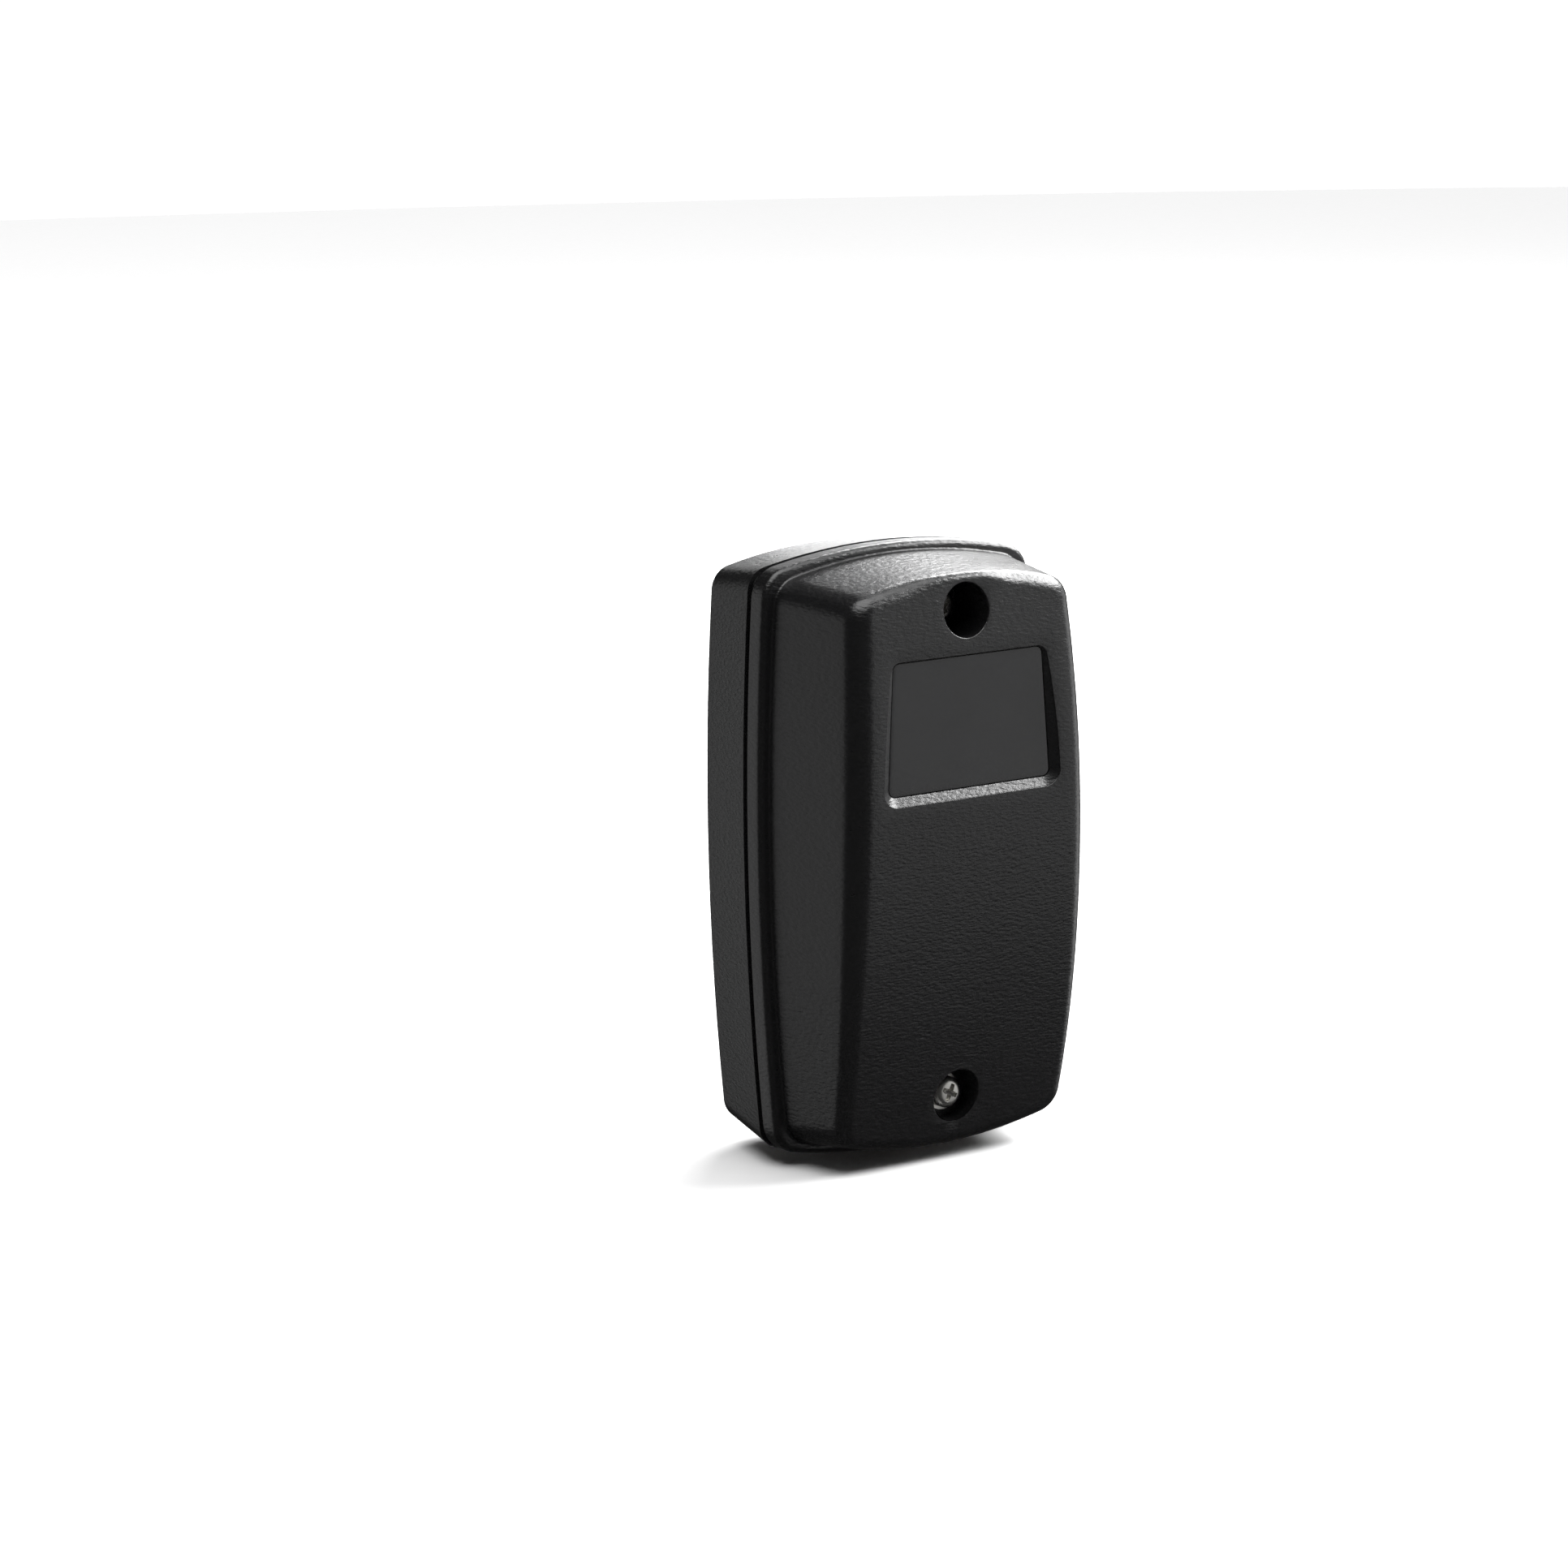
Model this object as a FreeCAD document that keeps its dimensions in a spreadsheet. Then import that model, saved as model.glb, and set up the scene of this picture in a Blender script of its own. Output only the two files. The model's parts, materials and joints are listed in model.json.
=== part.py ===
import FreeCAD, Part
import math
import os
import Sketcher

# Wall-mounted photocell receiver for a powered gate: a tapered rear box, a domed front cover held by two
# screws, and a circuit board with lens, relay and rising-cage terminals between them.
#
# Frame: the origin is the centre of the back face, which lies on the wall. X is to the right as one faces
# the unit, +Y goes into the wall and +Z is up. A depth is a distance from the wall towards the front, so a
# point at depth d has y = -d.

doc = FreeCAD.newDocument("photocell")

SIZES = {
    # outline of the joint between box and cover, seen from the front
    "case_half_width": 30.7,
    "case_half_height": 55.0,
    "side_bow": 2.3,            # how far the long sides bulge past the corners
    "end_bow": 3.4,             # how far the top and bottom arch past the corners
    "rim_corner": 5.8,
    # rear box
    "base_depth": 16.3,
    "back_side_taper": 3.05,
    "back_end_taper": 1.7,
    "box_corner": 4.6,
    "wall": 2.4,
    "floor_thick": 2.5,
    # joint and cover rim
    "joint_gap": 1.2,
    "gasket_inset": 1.0,
    "rim_thick": 4.1,
    "rim_round": 1.2,
    "tongue_reach": 1.5,
    "tongue_thick": 1.2,
    "tongue_clearance": 0.3,
    # domed cover
    "case_depth": 43.1,
    "shoulder_side": 1.3,
    "shoulder_end": 1.3,
    "cover_side_taper": 4.85,
    "cover_end_taper": 2.8,
    "crown_spare": 3.0,         # the block is drawn this far past the face before the face is cut
    "cover_corner": 5.2,
    "face_radius": 278.0,
    "face_apex": 17.15,         # height of the face's foremost line
    "face_round": 3.8,
    # cover screws and the wells they sit in
    "top_screw_inset": 9.95,
    "bottom_screw_inset": 12.35,
    "well_radius": 4.8,
    "well_wall": 1.5,
    "seat_depth": 31.8,
    "seat_thick": 2.4,
    "screw_radius": 1.5,
    "screw_length": 20.0,
    "screw_head_radius": 2.85,
    "screw_head_height": 2.4,
    "screw_hole_gap": 0.2,
    "washer_thick": 0.5,
    "pillar_radius": 4.2,
    "pillar_gap": 0.3,
    "pillar_reach": 1.7,
    "insert_radius": 2.3,
    "insert_length": 5.7,
    "thread_gap": 0.05,
    "fit_gap": 0.02,
    # window
    "window_top_inset": 17.8,
    "window_height": 23.3,
    "window_half_top": 16.0,
    "window_half_bottom": 17.4,
    "window_recess": 1.2,
    "window_slope": 1.25,
    "window_top_slope": 0.4,
    "window_corner": 1.3,
    "filter_thick": 1.3,
    "filter_gap": 0.1,
    "seal_thick": 0.3,
    "ledge": 1.6,
    "ledge_thick": 1.5,
    "frame_wall": 1.6,
    # circuit board and its posts
    "board_thick": 1.6,
    "board_stand_off": 9.0,
    "board_side_gap": 6.2,
    "board_top_gap": 2.6,
    "wiring_space": 22.6,
    "post_radius": 3.0,
    "post_inset": 3.2,
    "board_screw_radius": 1.25,
    "board_screw_length": 6.0,
    "board_screw_head": 2.4,
    "board_screw_cap": 1.6,
    # wall fixing and cable entry
    "fixing_half_spacing": 17.0,
    "fixing_end_inset": 11.0,
    "fixing_foot_inset": 15.0,
    "fixing_radius": 2.1,
    "fixing_boss_radius": 4.5,
    "fixing_boss_reach": 2.5,
    "cable_radius": 3.0,
    "entry_radius": 6.0,
    "entry_rise": 13.1,
    "grommet_flange": 1.6,
    "grommet_flange_thick": 1.0,
    # optics
    "lens_radius": 10.0,
    "lens_thick": 5.0,
    "lens_edge": 1.4,
    "lens_step": 0.2,           # short straight wall between the lens's rim and its crown
    "lens_gap": 1.6,
    "holder_wall": 1.4,
    "holder_foot_radius": 8.0,
    "holder_lip": 0.8,
    "clip_thick": 0.9,
    # terminal block
    "way_pitch": 5.08,
    "block_width": 25.4,
    "block_height": 10.4,
    "block_rise": 12.0,
    "cage_width": 3.9,
    "cage_height": 5.2,
    "cage_rise": 5.2,
    "cage_wall": 0.75,
    "cage_travel": 2.4,
    "cage_gap": 0.15,
    "clamp_screw_radius": 1.1,
    "clamp_head_radius": 1.9,
    "clamp_head_height": 1.6,
    # trimmer and mode switch
    "trimmer_width": 6.6,
    "trimmer_height": 4.0,
    "rotor_radius": 2.4,
    "switch_width": 6.6,
    "switch_height": 6.4,
    "switch_rise": 3.0,
    "slider_width": 1.0,
    "slider_travel": 1.4,
}

sheet = doc.addObject("Spreadsheet::Sheet", "sizes")
for row, (alias, number) in enumerate(SIZES.items(), start=1):
    sheet.set(f"A{row}", alias)
    sheet.set(f"B{row}", str(number))
    sheet.setAlias(f"B{row}", alias)
doc.recompute()


class Size:
    """A length together with the spreadsheet expression that gives it."""

    def __init__(self, value, text):
        self.value = float(value)
        self.text = text

    def __add__(self, other):
        other = size(other)
        return Size(self.value + other.value, f"({self.text} + {other.text})")

    def __sub__(self, other):
        other = size(other)
        return Size(self.value - other.value, f"({self.text} - {other.text})")

    def __mul__(self, other):
        other = size(other)
        return Size(self.value * other.value, f"({self.text} * {other.text})")

    def __truediv__(self, other):
        other = size(other)
        return Size(self.value / other.value, f"({self.text} / {other.text})")

    def __neg__(self):
        return Size(-self.value, f"(0 - {self.text})")

    __radd__ = __add__

    def __rsub__(self, other):
        return size(other) - self


def size(number):
    """Return a Size for a plain number, or the Size itself."""
    return number if isinstance(number, Size) else Size(number, repr(float(number)))


class Sheet:
    """Reads named sizes from the spreadsheet as Size values."""

    def __getattr__(self, alias):
        return Size(sheet.get(alias), f"sizes.{alias}")


S = Sheet()


def bind(thing, prop, amount):
    """Bind one property of a document object to the spreadsheet."""
    thing.setExpression(prop, size(amount).text)


def place(thing, x=0.0, depth=0.0, z=0.0):
    """Bind a sub-part's Placement: x to the right, depth from the wall, z up."""
    bind(thing, "Placement.Base.x", x)
    bind(thing, "Placement.Base.y", -size(depth))
    bind(thing, "Placement.Base.z", z)


# ---------------------------------------------------------------- sketch helpers

def new_body(label):
    body = doc.addObject("PartDesign::Body", label)
    body.Label = label
    return body


def new_sketch(body, role, offset=0.0):
    """A sketch on one of the body's origin planes, moved along the plane's normal by offset."""
    sketch = body.newObject("Sketcher::SketchObject", "sketch")
    plane = [f for f in body.Origin.OriginFeatures if f.Role == role][0]
    sketch.AttachmentSupport = (plane, [""])
    sketch.MapMode = "FlatFace"
    sketch.AttachmentOffset = FreeCAD.Placement(FreeCAD.Vector(0, 0, size(offset).value), FreeCAD.Rotation())
    bind(sketch, "AttachmentOffset.Base.z", offset)
    return sketch


def fix(sketch, kind, *items):
    """Add a dimension whose last item is a Size, bound to the spreadsheet."""
    amount = size(items[-1])
    index = sketch.addConstraint(Sketcher.Constraint(kind, *items[:-1], amount.value))
    sketch.setExpression(f"Constraints[{index}]", amount.text)


def polygon(sketch, points):
    """A closed run of straight lines through points given as pairs of sizes."""
    corners = [FreeCAD.Vector(size(a).value, size(b).value, 0) for a, b in points]
    first = sketch.GeometryCount
    count = len(corners)
    for i in range(count):
        sketch.addGeometry(Part.LineSegment(corners[i], corners[(i + 1) % count]))
    for i in range(count):
        sketch.addConstraint(Sketcher.Constraint("Coincident", first + i, 2, first + (i + 1) % count, 1))
        fix(sketch, "DistanceX", first + i, 1, points[i][0])
        fix(sketch, "DistanceY", first + i, 1, points[i][1])


def rectangle(sketch, left, right, low, high):
    polygon(sketch, [(left, low), (right, low), (right, high), (left, high)])


def circle(sketch, x, z, radius):
    centre = FreeCAD.Vector(size(x).value, size(z).value, 0)
    index = sketch.addGeometry(Part.Circle(centre, FreeCAD.Vector(0, 0, 1), size(radius).value))
    fix(sketch, "DistanceX", index, 3, x)
    fix(sketch, "DistanceY", index, 3, z)
    fix(sketch, "Radius", index, radius)


def arched_outline(sketch, half_width, half_height, side_bow, end_bow):
    """Four arcs: sides that bulge by side_bow and ends that arch by end_bow past the four corners."""
    corner_x = half_width - side_bow
    corner_z = half_height - end_bow
    side_radius = (corner_z * corner_z + side_bow * side_bow) / (side_bow * 2)
    end_radius = (corner_x * corner_x + end_bow * end_bow) / (end_bow * 2)
    a, b = corner_x.value, corner_z.value
    wide, tall = size(half_width).value, size(half_height).value
    corners = [FreeCAD.Vector(x, z, 0) for x, z in ((-a, -b), (a, -b), (a, b), (-a, b))]
    middles = [FreeCAD.Vector(x, z, 0) for x, z in ((0, -tall), (wide, 0), (0, tall), (-wide, 0))]
    first = sketch.GeometryCount
    for i in range(4):
        sketch.addGeometry(Part.Arc(corners[i], middles[i], corners[(i + 1) % 4]))
    for i in range(4):
        sketch.addConstraint(Sketcher.Constraint("Coincident", first + i, 2, first + (i + 1) % 4, 1))
    for i, (x, z) in enumerate(((-corner_x, -corner_z), (corner_x, -corner_z),
                                (corner_x, corner_z), (-corner_x, corner_z))):
        fix(sketch, "DistanceX", first + i, 1, x)
        fix(sketch, "DistanceY", first + i, 1, z)
    for i, radius in enumerate((end_radius, side_radius, end_radius, side_radius)):
        fix(sketch, "Radius", first + i, radius)


# ---------------------------------------------------------------- feature helpers

def pad(body, sketch, length):
    """Raise the sketch towards its normal, which is the front for a sketch on the XZ plane."""
    feature = body.newObject("PartDesign::Pad", "pad")
    feature.Profile = sketch
    feature.Length = size(length).value
    bind(feature, "Length", length)
    doc.recompute()
    return feature


def pocket(body, sketch, length, forward=False, both=False):
    """Cut the sketch away: back towards the wall, or forward towards the front."""
    feature = body.newObject("PartDesign::Pocket", "pocket")
    feature.Profile = sketch
    feature.Reversed = forward
    feature.Midplane = both
    feature.Length = size(length).value
    bind(feature, "Length", length)
    before = body.Shape.Volume
    doc.recompute()
    if body.Shape.Volume > before - 1e-6:
        raise RuntimeError(f"a pocket of {body.Label} cuts nothing")
    return feature


def loft(body, kind, back, front):
    feature = body.newObject(f"PartDesign::{kind}Loft", "loft")
    feature.Profile = back
    feature.Sections = [front]
    feature.Ruled = True
    doc.recompute()
    return feature


def edge_names(shape, wanted):
    return [f"Edge{i}" for i, edge in enumerate(shape.Edges, start=1) if wanted(edge)]


def blend(body, kind, wanted, amount):
    """Fillet or Chamfer every edge of the body's tip that wanted accepts."""
    base = body.Tip
    names = edge_names(base.Shape, wanted)
    if not names:
        raise RuntimeError(f"no edge to {kind} on {body.Label}")
    feature = body.newObject(f"PartDesign::{kind}", kind.lower())
    feature.Base = (base, names)
    prop = "Radius" if kind == "Fillet" else "Size"
    setattr(feature, prop, size(amount).value)
    bind(feature, prop, amount)
    doc.recompute()
    return feature


def depth_span(edge):
    """The smallest and largest depth an edge reaches."""
    box = edge.BoundBox
    return -box.YMax, -box.YMin


def runs_deep(least):
    """Accept edges that run from back to front by at least the given depth."""
    return lambda edge: depth_span(edge)[1] - depth_span(edge)[0] > least


def lies_at(depth, slack=0.01):
    """Accept edges that lie wholly at one depth."""
    level = size(depth).value
    return lambda edge: abs(depth_span(edge)[0] - level) < slack and abs(depth_span(edge)[1] - level) < slack


def combine(body, kind, tool):
    """Cut another body out of this one, or fuse it on."""
    feature = body.newObject("PartDesign::Boolean", kind.lower())
    feature.Type = kind
    feature.addObject(tool)
    doc.recompute()


def block(label, left, right, low, high, back, front, round_radius=None):
    """A padded rectangle between two depths, with its front-to-back edges rounded if a radius is given."""
    body = new_body(label)
    sketch = new_sketch(body, "XZ_Plane", 0.0)
    rectangle(sketch, left, right, low, high)
    pad(body, sketch, size(front) - back)
    if round_radius is not None:
        blend(body, "Fillet", runs_deep(0.3), round_radius)
    place(body, depth=back)
    return body


def turned(label, profile, x=0.0, depth=0.0, z=0.0):
    """A turned piece: (depth, radius) points revolved about the front-to-back line through its own origin."""
    body = new_body(label)
    sketch = new_sketch(body, "YZ_Plane")
    polygon(sketch, [(-size(d), size(r)) for d, r in profile])
    feature = body.newObject("PartDesign::Revolution", "revolution")
    feature.Profile = sketch
    feature.ReferenceAxis = (sketch, ["H_Axis"])
    feature.Angle = 360.0
    doc.recompute()
    place(body, x, depth, z)
    return body


def group(label, pieces):
    """Identical pieces that share one node as separate solids."""
    compound = doc.addObject("Part::Compound", label)
    compound.Label = label
    compound.Links = pieces
    return compound


def rod(x, z, back, front, radius, along="depth"):
    """A plain cylinder from one depth to another, or lying along Z from low to high."""
    piece = doc.addObject("Part::Cylinder", "rod")
    bind(piece, "Radius", radius)
    if along == "depth":
        bind(piece, "Height", size(front) - back)
        piece.Placement.Rotation = FreeCAD.Rotation(FreeCAD.Vector(1, 0, 0), 90)
        place(piece, x, back, z)
    else:
        bind(piece, "Height", size(front) - back)
        place(piece, x, z, back)
    return piece


def brick(left, right, low, high, back, front):
    """A plain box between two depths."""
    piece = doc.addObject("Part::Box", "brick")
    bind(piece, "Length", size(right) - left)
    bind(piece, "Width", size(front) - back)
    bind(piece, "Height", size(high) - low)
    place(piece, left, front, low)
    return piece


def fused(label, pieces):
    joined = doc.addObject("Part::MultiFuse", label)
    joined.Label = label
    joined.Shapes = pieces
    return joined


# ---------------------------------------------------------------- places shared by several sub-parts

cover_back = S.base_depth + S.joint_gap
rim_front = cover_back + S.rim_thick
top_screw_z = S.case_half_height - S.top_screw_inset
bottom_screw_z = -(S.case_half_height - S.bottom_screw_inset)
screw_heights = (top_screw_z, bottom_screw_z)
pillar_top = S.base_depth + S.pillar_reach
head_seat = S.seat_depth + S.washer_thick

window_top = S.case_half_height - S.window_top_inset
window_bottom = window_top - S.window_height
window_front = S.case_depth - S.window_recess
filter_back = window_front - S.filter_thick
ledge_front = filter_back - S.seal_thick
ledge_back = ledge_front - S.ledge_thick

board_half_width = S.case_half_width - S.wall - S.board_side_gap
board_top = top_screw_z - S.pillar_radius - S.board_top_gap
board_bottom = bottom_screw_z + S.wiring_space
board_front = S.board_stand_off + S.board_thick
post_x = board_half_width - S.post_inset
post_places = [(x, z) for x in (-post_x, post_x)
               for z in (board_bottom + S.post_inset, board_top - S.post_inset)]

fixing_top = S.case_half_height - S.fixing_end_inset
fixing_bottom = -(S.case_half_height - S.fixing_foot_inset)
fixing_places = [(x, z) for x in (-S.fixing_half_spacing, S.fixing_half_spacing)
                 for z in (fixing_bottom, fixing_top)]
entry_z = bottom_screw_z + S.entry_rise

lens_z = (window_top + window_bottom) / 2
lens_front = ledge_back - S.lens_gap
lens_back = lens_front - S.lens_thick


# ---------------------------------------------------------------- rear box

def rear_box():
    body = new_body("rear_box")
    back = new_sketch(body, "XZ_Plane")
    arched_outline(back, S.case_half_width - S.back_side_taper, S.case_half_height - S.back_end_taper,
                   S.side_bow, S.end_bow)
    front = new_sketch(body, "XZ_Plane", S.base_depth)
    arched_outline(front, S.case_half_width, S.case_half_height, S.side_bow, S.end_bow)
    loft(body, "Additive", back, front)
    blend(body, "Fillet", runs_deep(5.0), S.box_corner)

    floor = new_sketch(body, "XZ_Plane", S.floor_thick)
    arched_outline(floor, S.case_half_width - S.back_side_taper - S.wall,
                   S.case_half_height - S.back_end_taper - S.wall, S.side_bow, S.end_bow)
    mouth = new_sketch(body, "XZ_Plane", S.base_depth)
    arched_outline(mouth, S.case_half_width - S.wall, S.case_half_height - S.wall, S.side_bow, S.end_bow)
    loft(body, "Subtractive", floor, mouth)
    inside = S.case_half_width - S.back_side_taper - S.wall
    blend(body, "Fillet", lambda e: runs_deep(5.0)(e) and abs(e.CenterOfMass.x) < inside.value
          and len(e.Vertexes) == 2 and depth_span(e)[0] > 1.0, S.box_corner - S.wall)

    root = S.floor_thick / 2
    pillars = new_sketch(body, "XZ_Plane", root)
    for z in screw_heights:
        circle(pillars, 0, z, S.pillar_radius)
    pad(body, pillars, pillar_top - root)
    posts = new_sketch(body, "XZ_Plane", root)
    for x, z in post_places:
        circle(posts, x, z, S.post_radius)
    pad(body, posts, S.board_stand_off - root)
    bosses = new_sketch(body, "XZ_Plane", root)
    for x, z in fixing_places:
        circle(bosses, x, z, S.fixing_boss_radius)
    pad(body, bosses, S.floor_thick + S.fixing_boss_reach - root)

    inserts = new_sketch(body, "XZ_Plane", pillar_top)
    for z in screw_heights:
        circle(inserts, 0, z, S.insert_radius + S.fit_gap)
    pocket(body, inserts, S.screw_length - (head_seat - pillar_top) + 1.0)
    pilots = new_sketch(body, "XZ_Plane", S.board_stand_off)
    for x, z in post_places:
        circle(pilots, x, z, S.board_screw_radius + S.fit_gap)
    pocket(body, pilots, S.board_screw_length)
    through = new_sketch(body, "XZ_Plane", S.floor_thick + S.fixing_boss_reach)
    for x, z in fixing_places:
        circle(through, x, z, S.fixing_radius)
    pocket(body, through, S.floor_thick + S.fixing_boss_reach)
    entry = new_sketch(body, "XZ_Plane", S.floor_thick)
    circle(entry, 0, entry_z, S.entry_radius)
    pocket(body, entry, S.floor_thick)
    entry_step = new_sketch(body, "XZ_Plane", S.grommet_flange_thick)
    circle(entry_step, 0, entry_z, S.entry_radius + S.grommet_flange + S.filter_gap)
    pocket(body, entry_step, S.grommet_flange_thick)
    return body


def cover_gasket():
    """A rubber ring between the box's front edge and the cover's rim, set in from the outside."""
    body = new_body("cover_gasket")
    ring = new_sketch(body, "XZ_Plane")
    for inset in (S.gasket_inset, S.wall):
        arched_outline(ring, S.case_half_width - inset, S.case_half_height - inset, S.side_bow, S.end_bow)
    pad(body, ring, S.joint_gap)
    blend(body, "Fillet", lambda e: runs_deep(0.5)(e), S.box_corner - S.wall)
    place(body, depth=S.base_depth)
    return body


# ---------------------------------------------------------------- front cover

def face_cut(body, shrink):
    """Trim the body to a wide cylinder lying along X, whose front is the dome of the face, less shrink."""
    sketch = new_sketch(body, "YZ_Plane")
    radius = S.face_radius - shrink
    centre_y = S.face_radius - S.case_depth
    margin = radius * 1.5
    circle(sketch, centre_y, S.face_apex, radius)
    rectangle(sketch, centre_y - margin, centre_y + margin, S.face_apex - margin, S.face_apex + margin)
    pocket(body, sketch, S.case_half_width * 4, both=True)


def window_outline(sketch, grow, grow_top=None):
    """The window's trapezium, wider at its foot, grown outwards by grow."""
    top = window_top + (grow if grow_top is None else grow_top)
    bottom = window_bottom - grow
    polygon(sketch, [(-(S.window_half_bottom + grow), bottom), (S.window_half_bottom + grow, bottom),
                     (S.window_half_top + grow, top), (-(S.window_half_top + grow), top)])


def cover_block(body, inset, back):
    """Add the cover's domed block to a body, from a given depth, drawn in by inset on every side."""
    foot = new_sketch(body, "XZ_Plane", back)
    arched_outline(foot, S.case_half_width - S.shoulder_side - inset,
                   S.case_half_height - S.shoulder_end - inset, S.side_bow, S.end_bow)
    crown = new_sketch(body, "XZ_Plane", S.case_depth + S.crown_spare)
    arched_outline(crown, S.case_half_width - S.shoulder_side - S.cover_side_taper - inset,
                   S.case_half_height - S.shoulder_end - S.cover_end_taper - inset, S.side_bow, S.end_bow)
    loft(body, "Additive", foot, crown)
    blend(body, "Fillet", runs_deep(S.rim_thick.value + 1.0), S.cover_corner - inset)
    face_cut(body, inset)


def on_dome(edge):
    """Accept the edges that bound the domed face."""
    middle = edge.valueAt((edge.FirstParameter + edge.LastParameter) / 2)
    centre_y = (S.face_radius - S.case_depth).value
    reach = math.hypot(middle.y - centre_y, middle.z - S.face_apex.value)
    return abs(reach - S.face_radius.value) < 0.02


def front_cover():
    body = new_body("front_cover")
    rim = new_sketch(body, "XZ_Plane", cover_back)
    arched_outline(rim, S.case_half_width, S.case_half_height, S.side_bow, S.end_bow)
    pad(body, rim, S.rim_thick)
    blend(body, "Fillet", runs_deep(S.rim_thick.value - 0.1), S.rim_corner)
    blend(body, "Chamfer", lies_at(rim_front), S.rim_round)
    dome = new_body("cover_dome")
    cover_block(dome, size(0.0), cover_back)
    blend(dome, "Fillet", on_dome, S.face_round)
    combine(body, "Fuse", dome)

    tongue = new_sketch(body, "XZ_Plane", cover_back - S.tongue_reach)
    outside = S.wall + S.tongue_clearance
    for inset in (outside, outside + S.tongue_thick):
        arched_outline(tongue, S.case_half_width - inset, S.case_half_height - inset, S.side_bow, S.end_bow)
    pad(body, tongue, S.tongue_reach)
    blend(body, "Fillet", lambda e: runs_deep(S.tongue_reach.value - 0.1)(e)
          and depth_span(e)[1] < cover_back.value + 0.1, S.box_corner - S.wall)

    hollow = new_body("cover_hollow")
    cover_block(hollow, S.wall, cover_back - S.tongue_reach)
    wells = new_sketch(hollow, "XZ_Plane", S.seat_depth - S.seat_thick)
    for z in screw_heights:
        circle(wells, 0, z, S.well_radius + S.well_wall)
    pocket(hollow, wells, S.case_depth, forward=True)
    tubes = new_sketch(hollow, "XZ_Plane", pillar_top + S.pillar_gap)
    for z in screw_heights:
        circle(tubes, 0, z, S.pillar_radius)
    pocket(hollow, tubes, S.case_depth, forward=True)
    frame = new_sketch(hollow, "XZ_Plane", ledge_back)
    window_outline(frame, S.frame_wall)
    pocket(hollow, frame, S.case_depth, forward=True)

    combine(body, "Cut", hollow)

    wells = new_sketch(body, "XZ_Plane", S.seat_depth)
    for z in screw_heights:
        circle(wells, 0, z, S.well_radius)
    pocket(body, wells, S.case_depth, forward=True)
    holes = new_sketch(body, "XZ_Plane", S.base_depth)
    for z in screw_heights:
        circle(holes, 0, z, S.screw_radius + S.screw_hole_gap)
    pocket(body, holes, S.case_depth, forward=True)

    recess = new_body("window_recess")
    recess_back = new_sketch(recess, "XZ_Plane", window_front)
    window_outline(recess_back, size(0.0))
    recess_front = new_sketch(recess, "XZ_Plane", window_front + S.window_recess * 2)
    window_outline(recess_front, S.window_slope * 2, S.window_top_slope * 2)
    loft(recess, "Additive", recess_back, recess_front)
    blend(recess, "Fillet", runs_deep(S.window_recess.value - 0.01), S.window_corner)
    combine(body, "Cut", recess)
    seat = new_sketch(body, "XZ_Plane", ledge_front)
    window_outline(seat, S.filter_gap)
    pocket(body, seat, window_front - ledge_front, forward=True)
    sight = new_sketch(body, "XZ_Plane", ledge_back)
    window_outline(sight, -S.ledge)
    pocket(body, sight, S.ledge_thick, forward=True)
    return body


def window_filter():
    """Dark plate that passes infrared light, glued into the cover from the front."""
    body = new_body("window_filter")
    sketch = new_sketch(body, "XZ_Plane")
    window_outline(sketch, size(0.0))
    pad(body, sketch, S.filter_thick)
    blend(body, "Fillet", runs_deep(S.filter_thick.value - 0.1), S.window_corner)
    place(body, depth=filter_back)
    return body


def window_seal():
    """A frame of sealing tape between the filter and the cover's ledge."""
    body = new_body("window_seal")
    sketch = new_sketch(body, "XZ_Plane")
    window_outline(sketch, size(0.0))
    window_outline(sketch, -S.ledge)
    pad(body, sketch, S.seal_thick)
    place(body, depth=ledge_front)
    return body


def cover_screw(label, z):
    """M3 pan-head machine screw with a cross recess; its own origin is under the head."""
    body = turned(label, [(-S.screw_length, 0), (-S.screw_length, S.screw_radius), (0, S.screw_radius),
                          (0, S.screw_head_radius), (S.screw_head_height, S.screw_head_radius),
                          (S.screw_head_height, 0)], 0, head_seat, z)
    top_level = S.screw_head_height.value
    blend(body, "Fillet", lies_at(top_level), S.screw_head_height * 0.4)
    for wide, tall in ((0.5, 1.55), (1.55, 0.5)):
        slot = new_sketch(body, "XZ_Plane", S.screw_head_height)
        rectangle(slot, -size(wide), wide, -size(tall), tall)
        pocket(body, slot, S.screw_head_height * 0.55)
    return body


def screw_washer(label, z):
    inner = S.screw_radius + S.thread_gap
    outer = S.screw_head_radius + 0.6
    return turned(label, [(0, inner), (0, outer), (S.washer_thick, outer), (S.washer_thick, inner)],
                  0, S.seat_depth, z)


def cover_screw_inserts():
    """Brass threaded inserts in the tops of the two pillars."""
    inner = S.screw_radius + S.thread_gap
    rings = []
    for i, z in enumerate(screw_heights, start=1):
        rings.append(turned(f"insert_{i}", [(-S.insert_length, inner), (-S.insert_length, S.insert_radius),
                                            (0, S.insert_radius), (0, inner)], 0, pillar_top, z))
    return group("cover_screw_inserts", rings)


def cable_grommet():
    """Rubber grommet in the back wall; its rear flange is flush with the wall face."""
    neck = S.entry_radius - S.fit_gap
    flange = S.entry_radius + S.grommet_flange
    back = S.fit_gap
    step = S.grommet_flange_thick
    front = S.floor_thick + S.grommet_flange_thick
    return turned("cable_grommet", [(back, S.cable_radius), (back, flange), (step, flange), (step, neck),
                                    (S.floor_thick, neck), (S.floor_thick, flange), (front, flange),
                                    (front, S.cable_radius)], 0, 0, entry_z)


# ---------------------------------------------------------------- circuit board

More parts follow.
